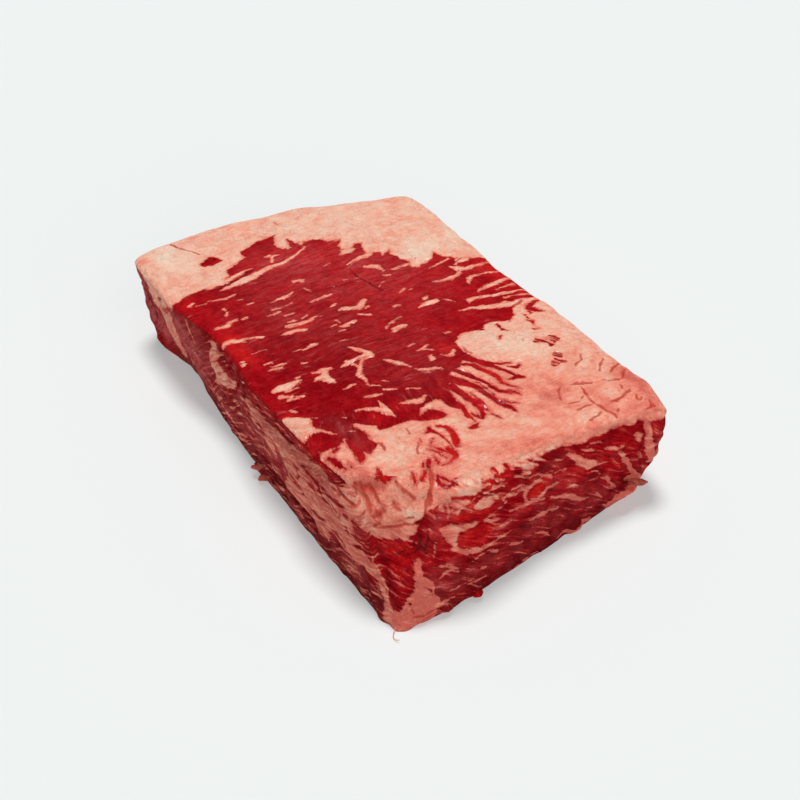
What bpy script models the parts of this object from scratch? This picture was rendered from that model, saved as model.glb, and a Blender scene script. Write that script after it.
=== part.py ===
"""A block of raw beef striploin, modelled as one closed solid lying on its flat underside.

Metres, +Z up. X runs along the block from the far end to the near end, Y runs across it from the
left side to the right side, and the origin is in the middle of the underside.
"""
import math

import bmesh
import bpy
from mathutils import Vector, noise

# Plan of the block, as (share of the way along the edge, distance from the middle)
LEFT_TOP = ((0.00, -0.101), (0.20, -0.104), (0.42, -0.097), (0.60, -0.103), (0.80, -0.102), (1.00, -0.099))
LEFT_BOTTOM = ((0.00, -0.094), (0.07, -0.089), (0.14, -0.085), (0.23, -0.090), (0.55, -0.096), (1.00, -0.096))
RIGHT_TOP = ((0.00, 0.102), (0.35, 0.102), (0.65, 0.104), (0.88, 0.102), (1.00, 0.099))
RIGHT_BOTTOM = ((0.00, 0.082), (0.50, 0.090), (1.00, 0.086))
FAR_TOP = ((0.00, -0.161), (0.15, -0.168), (0.35, -0.169), (0.62, -0.162), (0.82, -0.152), (1.00, -0.144))
FAR_BOTTOM = ((0.00, -0.144), (0.20, -0.153), (0.60, -0.158), (1.00, -0.136))
NEAR_TOP = ((0.00, 0.156), (0.15, 0.158), (0.30, 0.160), (0.50, 0.150), (0.65, 0.145), (1.00, 0.147))
NEAR_BOTTOM = ((0.00, 0.168), (0.15, 0.167), (0.35, 0.161), (0.60, 0.152), (1.00, 0.139))

# Height of the top face along the left side and along the right side, and its rise in between
LEFT_HEIGHT = ((0.00, 0.062), (0.30, 0.066), (0.60, 0.070), (0.85, 0.078), (1.00, 0.083))
RIGHT_HEIGHT = ((0.00, 0.059), (0.40, 0.058), (0.75, 0.060), (1.00, 0.060))
CROWN = 0.003

# How far the middle of each wall stands out from a straight line between its top and bottom
LEFT_BELLY = -0.001
RIGHT_BELLY = 0.006
END_BELLY = 0.003

# The near left corner is pared off along a plane, from two points on the top to a tip at the base
PARING = (Vector((0.126, -0.097, 0.078)), Vector((0.158, -0.060, 0.080)), Vector((0.169, -0.097, 0.0)))
PARING_SOFTNESS = 0.004

# Cells of the cage, which two rounds of subdivision cut in four along each edge
CAGE_LONG = 14
CAGE_WIDE = 9
CAGE_TALL = 4
SUBDIVISIONS = 2
TOUCH = 0.001

# Sharpness of the block's edges: trimmed lean keeps its edge, and fat rolls over it
CREASE_CUT = 0.80
CREASE_FAT = 0.35
CREASE_CORNER = 0.25
LEAN_EDGE_START = 0.20
LEAN_EDGE_END = 0.78

# Rounded swellings of fat, as (middle, radius, rise)
SWELLINGS = (
    (Vector((0.150, -0.076, 0.072)), 0.016, 0.0035),
    (Vector((0.143, -0.087, 0.060)), 0.012, 0.0030),
    (Vector((0.118, 0.094, 0.058)), 0.010, 0.0030),
    (Vector((0.132, 0.090, 0.058)), 0.008, 0.0010),
    (Vector((0.147, 0.088, 0.048)), 0.009, 0.0035),
    (Vector((0.090, 0.060, 0.062)), 0.030, 0.0015),
    (Vector((0.045, 0.030, 0.062)), 0.014, 0.0012),
    (Vector((-0.135, 0.040, 0.060)), 0.035, 0.0015),
    (Vector((-0.150, -0.085, 0.058)), 0.018, 0.0015),
    (Vector((-0.125, -0.092, 0.010)), 0.014, 0.0030),
)

# Clefts between pieces of muscle and fat, as (start, end, half width, depth)
CLEFTS = (
    (Vector((0.152, -0.064, 0.078)), Vector((0.160, -0.072, 0.062)), 0.005, 0.0035),
    (Vector((0.160, -0.072, 0.062)), Vector((0.165, -0.080, 0.042)), 0.005, 0.0040),
    (Vector((0.020, -0.098, 0.058)), Vector((0.100, -0.102, 0.060)), 0.006, 0.0040),
    (Vector((-0.130, -0.096, 0.040)), Vector((-0.060, -0.092, 0.046)), 0.005, 0.0025),
    (Vector((-0.040, -0.094, 0.030)), Vector((0.060, -0.098, 0.036)), 0.005, 0.0020),
    (Vector((0.000, -0.098, 0.012)), Vector((0.130, -0.098, 0.016)), 0.005, 0.0025),
    (Vector((0.162, -0.050, 0.034)), Vector((0.152, 0.040, 0.030)), 0.006, 0.0020),
    (Vector((0.150, 0.076, 0.050)), Vector((0.146, 0.074, 0.016)), 0.005, 0.0025),
)

# Flaps and shreds that hang off the walls, as (root, reach of the tip from it, radius of the root)
FLAPS = (
    (Vector((-0.126, -0.096, 0.008)), Vector((-0.001, -0.002, -0.001)), 0.0110),
    (Vector((0.014, -0.097, 0.006)), Vector((-0.004, -0.004, 0.001)), 0.0055),
    (Vector((0.144, 0.064, 0.012)), Vector((0.006, 0.009, 0.002)), 0.0085),
    (Vector((0.167, -0.066, 0.004)), Vector((0.003, 0.002, 0.001)), 0.0045),
    (Vector((0.163, -0.046, 0.004)), Vector((0.003, 0.001, 0.000)), 0.0060),
    (Vector((0.149, 0.032, 0.004)), Vector((0.004, 0.001, 0.000)), 0.0060),
)
FLAP_WIDTH_KEPT = 0.75
FLAP_HEIGHT_KEPT = 0.35

# Relief of the surface: the size of the lumps and of the grain, and how far they stand out
LUMP_SIZE = 0.045
LUMP_RISE = 0.0020
GRAIN_SIZE = 0.010
GRAIN_RISE = 0.0011
GRAIN_STRETCH = 3.5
FLAT_BASE_BAND = 0.006

BASE_COLOR = (0.42, 0.05, 0.045, 1.0)
ROUGHNESS = 0.42


def slope(stops, spot):
    """How fast a row of stops climbs at one of them, from the stops on both sides of it."""
    before = stops[max(spot - 1, 0)]
    after = stops[min(spot + 1, len(stops) - 1)]
    return (after[1] - before[1]) / (after[0] - before[0])


def along(stops, share):
    """The value at a share of the way along a smooth curve through a row of stops."""
    spot = max([index for index, (start, _) in enumerate(stops[:-1]) if start <= share] or [0])
    (start, low), (end, high) = stops[spot], stops[spot + 1]
    width = end - start
    step = (share - start) / width
    eased = step * step * (3 - 2 * step)
    leaving = slope(stops, spot) * width * step * (1 - step) ** 2
    arriving = slope(stops, spot + 1) * width * step * step * (step - 1)
    return low + (high - low) * eased + leaving + arriving


def mix(low, high, share):
    return low + (high - low) * share


def wall(top, bottom, belly, share, rise):
    """Distance of a wall from the middle, at a share along it and a rise from bottom to top."""
    return mix(along(bottom, share), along(top, share), rise) + belly * math.sin(math.pi * rise)


def pared(point):
    """A point moved level towards the paring plane where it lies outside it, with a soft edge."""
    first, second, tip = PARING
    facing = (tip - first).cross(second - first).normalized()
    outside = (point - first).dot(facing) / PARING_SOFTNESS
    cut = PARING_SOFTNESS * math.log1p(math.exp(outside))
    level = Vector((facing.x, facing.y, 0)).normalized()
    return point - level * cut / level.dot(facing)


def place(u, v, w):
    """Where a point of a unit cube lies on the block: u along, v across, w up."""
    far = wall(FAR_TOP, FAR_BOTTOM, -END_BELLY, v, w)
    near = wall(NEAR_TOP, NEAR_BOTTOM, END_BELLY, v, w)
    left = wall(LEFT_TOP, LEFT_BOTTOM, LEFT_BELLY, u, w)
    right = wall(RIGHT_TOP, RIGHT_BOTTOM, RIGHT_BELLY, u, w)
    crown = CROWN * math.sin(math.pi * u) * math.sin(math.pi * v)
    height = mix(along(LEFT_HEIGHT, u), along(RIGHT_HEIGHT, u), v) + crown
    return pared(Vector((mix(far, near, u), mix(left, right, v), height * w)))


def build_cage():
    """A box of quads with one flat face below, whose points carry their place in a unit cube."""
    cage = bmesh.new()
    bmesh.ops.create_grid(cage, x_segments=CAGE_LONG, y_segments=CAGE_WIDE, size=0.5)
    for point in cage.verts:
        point.co += Vector((0.5, 0.5, 1.0))
    rim = [edge for edge in cage.edges if edge.is_boundary]
    for _ in range(CAGE_TALL):
        wall_part = bmesh.ops.extrude_edge_only(cage, edges=rim)["geom"]
        lowered = [item for item in wall_part if isinstance(item, bmesh.types.BMVert)]
        bmesh.ops.translate(cage, verts=lowered, vec=(0, 0, -1 / CAGE_TALL))
        rim = [edge for edge in wall_part if isinstance(edge, bmesh.types.BMEdge) and edge.is_boundary]
    bmesh.ops.contextual_create(cage, geom=rim)
    bmesh.ops.recalc_face_normals(cage, faces=cage.faces)
    return cage


def crease_of(start, end):
    """How sharp an edge between two places in the unit cube stays when the block is rounded."""
    middle = (start + end) / 2
    on_top = min(start.z, end.z) > 1 - TOUCH
    on_base = max(start.z, end.z) < TOUCH
    at_side = not TOUCH < middle.y < 1 - TOUCH
    at_end = not TOUCH < middle.x < 1 - TOUCH
    if on_base:
        return 1.0
    if on_top and middle.y < TOUCH and LEAN_EDGE_START < middle.x < LEAN_EDGE_END:
        return CREASE_CUT
    if on_top and (at_side or at_end):
        return CREASE_FAT
    if at_side and at_end:
        return CREASE_CORNER
    return 0.0


def add_creases(cage):
    sharpness = cage.edges.layers.float.new("crease_edge")
    for edge in cage.edges:
        edge[sharpness] = crease_of(edge.verts[0].co, edge.verts[1].co)


def rounded(cage):
    """The mesh of the cage after its rounds of subdivision."""
    mesh = bpy.data.meshes.new("cage")
    cage.to_mesh(mesh)
    cage.free()
    holder = bpy.data.objects.new("cage", mesh)
    bpy.context.scene.collection.objects.link(holder)
    smooth = holder.modifiers.new("Round", "SUBSURF")
    smooth.levels = SUBDIVISIONS
    smooth.render_levels = SUBDIVISIONS
    graph = bpy.context.evaluated_depsgraph_get()
    result = bpy.data.meshes.new_from_object(holder.evaluated_get(graph))
    bpy.data.objects.remove(holder)
    return result


def swell(spot):
    """How far the swellings lift the surface at a spot."""
    return sum(rise * math.exp(-((spot - middle).length / radius) ** 2) for middle, radius, rise in SWELLINGS)


def cleft(spot):
    """How deep the clefts cut the surface at a spot."""
    total = 0.0
    for start, end, half_width, depth in CLEFTS:
        run = end - start
        share = max(0.0, min(1.0, (spot - start).dot(run) / run.length_squared))
        gap = (spot - start - run * share).length
        total = max(total, depth * math.exp(-(gap / half_width) ** 2))
    return total


def grain(spot, facing):
    """A ridged grain, drawn out along the block on its sides, and across it on its top and ends."""
    lengthwise = noise.noise(Vector((spot.x / GRAIN_STRETCH, spot.y, spot.z)) / GRAIN_SIZE)
    crosswise = noise.noise(Vector((spot.x, spot.y / GRAIN_STRETCH, spot.z)) / GRAIN_SIZE)
    return mix(crosswise, lengthwise, facing.y ** 2)


def roughen(body):
    """Pushes each point in or out along its normal, and fades to nothing at the flat underside."""
    body.normal_update()
    shifts = {}
    for point in body.verts:
        spot = point.co
        lumps = LUMP_RISE * noise.fractal(spot / LUMP_SIZE, 0.8, 2.0, 3)
        rise = lumps + GRAIN_RISE * grain(spot, point.normal) + swell(spot) - cleft(spot)
        fade = min(1.0, max(0.0, spot.z / FLAT_BASE_BAND))
        shifts[point] = point.normal * rise * fade
    for point, shift in shifts.items():
        point.co += shift


def pull_flap(body, root, reach, radius):
    """Draws the faces round a spot outwards into a flap that narrows towards its tip."""
    faces = [
        face for face in body.faces
        if len(face.verts) == 4 and (face.calc_center_median() - root).length < radius
    ]
    drawn = bmesh.ops.extrude_face_region(body, geom=faces)["geom"]
    bmesh.ops.delete(body, geom=faces, context="FACES")
    tip = [item for item in drawn if isinstance(item, bmesh.types.BMVert)]
    middle = sum((point.co for point in tip), Vector()) / len(tip)
    narrowing = Vector((FLAP_WIDTH_KEPT, FLAP_WIDTH_KEPT, FLAP_HEIGHT_KEPT))
    for point in tip:
        point.co = middle + (point.co - middle) * narrowing + reach


def centre_on_base(body):
    """Moves the block so that the middle of its underside is the origin."""
    low = Vector(min(point.co[axis] for point in body.verts) for axis in range(3))
    high = Vector(max(point.co[axis] for point in body.verts) for axis in range(3))
    middle = (low + high) / 2
    bmesh.ops.translate(body, verts=body.verts, vec=(-middle.x, -middle.y, -low.z))


def raw_beef():
    material = bpy.data.materials.new("raw_beef")
    material.use_nodes = True
    shader = material.node_tree.nodes["Principled BSDF"]
    shader.inputs["Base Color"].default_value = BASE_COLOR
    shader.inputs["Roughness"].default_value = ROUGHNESS
    shader.inputs["Metallic"].default_value = 0.0
    return material


def build_striploin():
    cage = build_cage()
    add_creases(cage)
    mesh = rounded(cage)
    body = bmesh.new()
    body.from_mesh(mesh)
    for point in body.verts:
        point.co = place(*point.co)
    roughen(body)
    for root, reach, radius in FLAPS:
        pull_flap(body, root, reach, radius)
    centre_on_base(body)
    body.to_mesh(mesh)
    body.free()
    mesh.name = "striploin"
    mesh.shade_smooth()
    mesh.materials.append(raw_beef())
    block = bpy.data.objects.new("striploin", mesh)
    bpy.context.scene.collection.objects.link(block)
    return block


def clear_scene():
    for item in list(bpy.data.objects):
        bpy.data.objects.remove(item, do_unlink=True)


clear_scene()
build_striploin()
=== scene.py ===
"""A block of raw beef striploin: its marbled skin, its loose shreds, and the plain stage that it lies on.

The frame is in metres. The drawn shapes below are in millimetres of the same frame: those of the top are
(x, y), those of the left wall (x, z) and those of the near end (y, z). A stroke is a row of (first, second,
half width) points, and a patch is a closed outline.
"""
import collections
import itertools
import math

import bpy
import numpy as np
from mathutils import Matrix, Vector


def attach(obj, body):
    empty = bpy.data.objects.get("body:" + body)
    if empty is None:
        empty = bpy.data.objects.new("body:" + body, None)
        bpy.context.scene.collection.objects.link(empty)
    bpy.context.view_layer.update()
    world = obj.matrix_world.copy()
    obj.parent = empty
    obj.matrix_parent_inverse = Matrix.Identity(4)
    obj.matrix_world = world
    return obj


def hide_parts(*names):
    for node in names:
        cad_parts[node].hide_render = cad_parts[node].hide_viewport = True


bl_info = {
    "name": "Raw beef striploin",
    "version": (1, 0, 0),
    "blender": (4, 5, 0),
    "location": "View3D > Sidebar > Striploin",
    "description": "Models and paints a marbled block of raw beef around its packed frame",
    "category": "Object",
}

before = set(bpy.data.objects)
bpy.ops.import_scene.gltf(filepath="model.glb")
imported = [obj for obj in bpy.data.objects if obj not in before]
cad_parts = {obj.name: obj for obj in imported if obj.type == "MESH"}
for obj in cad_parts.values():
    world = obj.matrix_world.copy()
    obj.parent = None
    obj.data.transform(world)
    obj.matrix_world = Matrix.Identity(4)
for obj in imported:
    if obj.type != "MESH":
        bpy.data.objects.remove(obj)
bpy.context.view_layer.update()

MM = 0.001

# The lean on the top of the block, from its right edge round its far side, its left edge and its near side
TOP_LEAN = (
    (12, 112), (-46, 112), (-46, 92), (-50, 80), (-55, 76), (-57, 72), (-62, 70.5), (-66, 70.5), (-61, 68),
    (-58, 64), (-56, 60), (-55.5, 54), (-53, 52.5), (-57, 48), (-62, 50), (-66, 47.5), (-71, 46), (-76, 44),
    (-79, 45.5), (-78, 42), (-75, 37.5), (-80, 39), (-80.5, 35), (-79, 30), (-86, 29), (-91, 31), (-95, 33.5),
    (-96, 28.5), (-93, 24), (-95, 19), (-99, 20.5), (-102, 19), (-104, 22), (-106, 24), (-107, 21), (-109, 19),
    (-110, 15), (-113, 13), (-115, 10), (-117, 6), (-117, 3), (-115, 0), (-112, -1), (-119, -3), (-126, -5.5),
    (-121, -7), (-115, -8), (-115, -11), (-117, -13), (-120, -16), (-123, -16.5), (-128, -14), (-135, -11),
    (-137, -10), (-135, -21.5), (-134, -25), (-130, -31.5), (-126, -39), (-123, -41), (-118, -40), (-116.7, -42.5),
    (-113.3, -47.5), (-110.4, -52.5), (-109.2, -56), (-105, -59.6), (-101, -59), (-98, -63), (-94, -69), (-92, -74),
    (-92, -77), (-94.2, -81.7), (-95, -87.5), (-93.8, -93.3), (-91.7, -98.3), (-90, -112), (99, -112), (97, -100),
    (98, -92), (96, -87), (104, -87), (112, -88), (119, -89), (116, -85), (109, -82.5), (114, -80.5), (110.5, -77),
    (109, -74), (107, -71), (105, -73), (101, -74.5), (97, -72.5), (92, -72), (88, -73), (85, -74.5), (82, -74),
    (83, -71), (86, -69), (88, -66), (91, -63), (95, -64), (94.5, -52), (94.5, -44), (97.5, -38), (100, -30),
    (99.5, -25), (97, -22), (93, -23), (90, -27), (88.5, -31), (86, -31), (83.5, -26), (82, -20), (84, -17),
    (82, -12), (74, -6), (66, -2), (62, 3), (61, 9), (57, 14), (59, 20), (57, 21.5), (48, 20), (42, 20.5), (38, 22),
    (35, 25), (31, 28), (29, 32), (28.5, 36), (29, 40), (31, 45), (26, 50), (26, 55), (28, 60), (30, 66), (29, 68),
    (24, 73), (20, 75), (17, 76), (14, 82), (11, 88), (12, 98),
)

# Lean lying in the fat of the top: the island at the far end, and the fingers that reach into the near end
LEAN_ISLAND = (
    (-130, -60), (-125, -56.7), (-120.8, -55), (-119.6, -55.4), (-119.2, -60), (-118.3, -63.3), (-119.6, -65),
    (-119.6, -68.3), (-121.7, -69.6), (-125, -68.3), (-125.8, -65),
)
FINGERS = (
    ((57, 18, 2.5), (64, 24, 2.6), (69, 28, 1.8), (74, 31, 1.5), (79, 33, 1.4), (83, 35, 2), (84, 39, 1)),
    ((64, 25, 1.6), (67, 31, 1.3), (69, 35, 1), (70, 39, 0.6)), ((83, 34, 1.5), (84, 30, 1.2), (83.5, 28, 0.5)),
    ((73, 36, 0.6), (75, 39, 1), (74.5, 43, 0.8)), ((60, 12, 1.5), (64, 17, 2), (69, 20.5, 2), (74, 22.5, 1.9),
    (80, 24, 1.6), (85, 22.5, 1.2), (89, 24, 1.1), (92, 26, 1), (95, 28, 0.5)), ((94, 21.5, 0.7), (98, 23, 1),
    (100.5, 25, 0.5)), ((59, 2, 2.4), (63, 5, 2.2), (68, 8, 2), (72, 10.5, 2), (77, 13, 1.8), (82, 14.5, 1.5),
    (87, 16, 1.6), (92, 17, 2), (95, 18.5, 1.7), (98, 21, 1)), ((66, -5, 4), (72, 0, 3.4), (77, 4, 3),
    (82, 6.3, 2.4), (88, 7.5, 2.3), (94, 8.5, 2.1), (100, 10, 2), (105, 12, 2), (109, 13, 1.5), (113, 12.7, 0.6)),
    ((78, 9, 0.4), (84, 10.8, 0.6), (91, 12, 0.7), (97, 10.6, 0.5)), ((101, 13.5, 0.6), (104, 16, 0.8),
    (106, 19, 0.4)), ((76, -5, 3), (83, -4, 2.8), (90, -3.5, 2.6), (96, -2, 2.6), (102, -2.5, 2.2),
    (106, -4.5, 1.4), (110, -7, 0.6)), ((86, 0.5, 0.7), (92, 0.5, 1.1), (98, 1, 1.4), (104, 0.5, 1.1)),
    ((108, 0, 0.6), (114.5, 1.5, 0.7)), ((76, -12, 5), (84, -14, 4), (91, -13.5, 3), (95, -10.5, 2),
    (100, -12, 1.6), (105, -12, 1.2), (110, -12.3, 0.7)), ((102, -9, 0.9), (106, -8, 1.1), (109.5, -7, 0.6)),
    ((112.5, -12, 0.6), (113.5, -15, 1.8), (114.5, -17, 1.9)), ((106, -34, 0.8), (109, -30, 2), (113, -29, 2),
    (118, -31, 2), (123, -33, 1.9), (128.5, -35.5, 0.8)), ((106, -39, 0.8), (109, -41, 2.2), (110.5, -44.5, 0.7)),
    ((110, -39, 1.8), (114, -37.2, 1.2), (120, -36.8, 0.9), (125, -37.6, 0.8), (129.5, -39, 0.4)), ((128, -42, 1.4),
    (132, -41, 2.2), (135.5, -41.5, 1.8), (138, -46, 1), (139.5, -52, 0.6)), ((130, -43, 1), (126, -46.5, 0.9),
    (121, -48, 0.6), (116, -43.5, 0.3)), ((135, -46.5, 0.6), (129, -48, 0.7), (124, -50.3, 0.4)), ((131, -52, 0.5),
    (138, -53, 0.6)), ((132, -56, 0.8), (137, -58.5, 0.8)), ((146, -59.5, 1), (149, -58, 0.9), (152, -56.8, 1.1),
    (154.5, -55.2, 1), (157, -55.3, 0.9), (157.5, -57, 1), (156.5, -60, 1), (153, -61, 1), (149, -60.8, 0.8)),
    ((153, -52.5, 0.7), (153.5, -50, 1.2), (154.5, -47, 0.6)), ((139, -61.5, 0.5), (143, -65, 1.2),
    (146.5, -70, 0.8)), ((138.5, -70, 0.6), (143, -71.3, 1), (148, -74, 0.5)), ((133, -60, 0.5), (136, -61.5, 0.6)),
    ((127, -83.2, 0.5), (131, -85.3, 1.4), (134.5, -87.2, 2.3), (137.5, -85.6, 1.6), (140, -81.5, 0.7)),
    ((99, -92, 1.4), (101, -95, 1.3)), ((103, -100, 1.4), (108, -99, 1.6), (114, -98.5, 1.2), (119, -97, 0.6)),
    ((112, -93, 0.4), (119, -95, 0.6)),
)

# Lean strokes in the fat along the right side of the top
RIGHT_LEAN = (
    ((15, 98, 1), (18, 90, 1.5), (21, 86, 2), (25, 88, 2), (28, 93, 0.5)), ((24, 84, 0.6), (27, 84, 0.5)),
    ((27, 79, 0.7), (31, 79, 0.7)), ((33, 77, 0.7), (35, 79, 0.9), (40, 77, 0.5)), ((31, 56, 1), (37, 56, 1.2),
    (39.5, 57.5, 0.5)), ((45, 77, 0.4), (45.5, 73, 0.6)), ((42.5, 51, 0.5), (43.5, 49, 0.8), (46.5, 47, 0.3)),
    ((8, 40, 1), (14, 42, 1.6), (21, 43, 1.6), (27, 44, 2), (30, 45, 1.4)),
)

# Fat in the lean of the top: seams first, then flecks from the far end to the near end
SEAMS = (
    ((-79.5, 31, 2), (-78.5, 24, 1.8), (-77, 18, 1.2), (-75.5, 12, 0.6)), ((-111, 0, 0.8), (-108, -6, 1),
    (-105.5, -12, 1.3), (-102.5, -17.5, 1.5), (-100.8, -24, 1.8), (-99.2, -30, 2), (-97.5, -36, 2.3),
    (-95.8, -41.7, 2.3), (-92.9, -46.7, 2.8), (-90.4, -53, 3.1), (-89.2, -59, 2.6), (-87.9, -66.7, 1.6),
    (-87.5, -72.5, 0.5)), ((-102, -43, 0.5), (-100.8, -49, 1.5), (-98.3, -54, 2), (-96, -61.7, 2.2),
    (-94.5, -68, 2.5), (-96, -76, 2.4)), ((-112.5, -19, 1), (-111, -24, 1.5), (-105, -27, 1)), ((-113, -25, 1.5),
    (-112.5, -28, 1.2)), ((-41, 98, 1), (-39.5, 91, 1.3), (-39, 85, 1.4), (-38, 78, 2.2), (-40, 73, 2.6),
    (-43, 70, 1)), ((-51, 79, 1), (-47, 77, 1), (-44, 75, 0.7)), ((-49, 88, 0.8), (-47, 84, 2.2), (-47, 79, 1.5)),
    ((-53, 74, 0.8), (-51, 68, 0.9), (-49.5, 62, 0.8), (-48, 57, 0.4)), ((-36, 73, 0.8), (-33, 66, 1.5),
    (-31, 61, 2.2), (-31, 56, 1.2), (-33, 50, 0.4)), ((-28, 99, 1), (-29, 88, 1), (-29, 80, 1.2), (-27, 74, 2),
    (-24, 71, 1.2), (-20, 69.5, 0.5)), ((-18, 99, 1.4), (-14.5, 86, 2.1), (-13.5, 78, 1.8), (-11.5, 72, 1),
    (-10, 69.5, 0.4)), ((-10, 96, 1.2), (-8, 88, 0.9), (-7, 82, 0.4)), ((0, 98, 0.9), (-1, 87, 1.2), (-2, 80, 1.8),
    (-3, 72, 1.8), (-4, 64, 2), (-4, 59, 2.2), (-1, 56.5, 0.9)), ((6, 99, 1), (5, 90, 0.8), (3, 80, 0.4)),
    ((13, 100, 2.4), (12, 83, 3), (10, 70, 2.9), (7, 60, 2.2), (5, 52, 1.5), (4.5, 46, 0.6)), ((12, 83, 1.8),
    (8, 79, 1.2), (7, 76, 0.8)), ((76.5, -23, 0.7), (78.5, -27, 2), (79.5, -30.5, 2.2), (78, -34, 1.9),
    (76.3, -39.5, 0.8)), ((69, -49.3, 0.4), (74, -50, 1.5), (78, -50.5, 2.2), (82, -50, 2), (86.5, -48.8, 0.5)),
    ((78, -52, 2.4), (74.5, -56, 2), (72.5, -60, 1.4), (70.8, -65.5, 0.6)), ((83, -51.5, 1.4), (80.5, -54, 0.8)),
    ((94, -84.8, 0.4), (98, -86.8, 0.8), (105, -88.5, 1), (118, -90.5, 1.4)),
)
FAR_FLECKS = (
    ((-60, 48, 1.2), (-59, 43, 1), (-58, 38, 1.3), (-59, 34, 0.5)), ((-69.5, 21, 0.8), (-67, 25, 2), (-64, 28, 2.5),
    (-60, 29.5, 1)), ((-55, 27, 0.9), (-53.5, 30, 0.9)), ((-35, 30, 1.2), (-33, 28, 1), (-30, 23, 0.4)),
    ((-32, 33.5, 0.8), (-32, 32.5, 0.8)), ((-12, 40, 1.5), (-13, 36, 2), (-12.5, 30, 1.5), (-11, 27, 0.7)),
    ((-11, 45, 1), (-9, 47.5, 1), (-7, 49, 0.4)), ((-17, 16, 1.2), (-17.5, 12, 1)), ((-49, 24, 0.4),
    (-44, 17, 0.4)), ((-60, 4, 0.7), (-60, 1, 0.7)), ((-4, 10, 0.5), (-2.5, 5, 0.5), (-1, 0, 0.7), (1.5, -4, 0.7),
    (3, -5, 1)), ((5, 7, 1.4), (5, 3, 1.8), (6, -1, 1.8), (9, -3, 0.8)), ((-33, 0, 1.4), (-29, -4, 2.3),
    (-25, -8, 2.5), (-27, -13, 2.5), (-30, -17, 2.4), (-29, -20.5, 1.2)), ((-24, -2, 1), (-22, -5, 0.9)),
    ((-15, -6, 1), (-18, -10, 0.8), (-20, -12, 0.5)), ((24, 26, 0.6), (25, 22, 0.6)), ((32, 5, 0.6), (35, 0, 0.7),
    (35, -3, 0.5)), ((35, 1, 0.7), (39, 5, 0.6)), ((44, 1, 1.6), (47, 0, 1.8), (48.5, -1, 1.2)), ((27, -1, 0.5),
    (28, -5, 0.5)), ((46, 15, 1.4), (49, 13, 1.8), (49, 9, 0.9), (45, 6, 0.5)), ((58, 0, 0.6), (56, -4, 1.1),
    (55, -8, 1.3), (53, -12, 1), (51, -15, 0.5)), ((66.5, 0, 0.8), (66.5, -2.5, 1.3), (65, -5, 0.6)),
    ((-60, 12, 0.5), (-59, 8, 0.4)), ((-84, 4, 0.5), (-82, -1, 0.5)), ((-20, 38, 0.5), (-18, 35, 1.6),
    (-17, 33, 0.8)),
)
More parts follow.
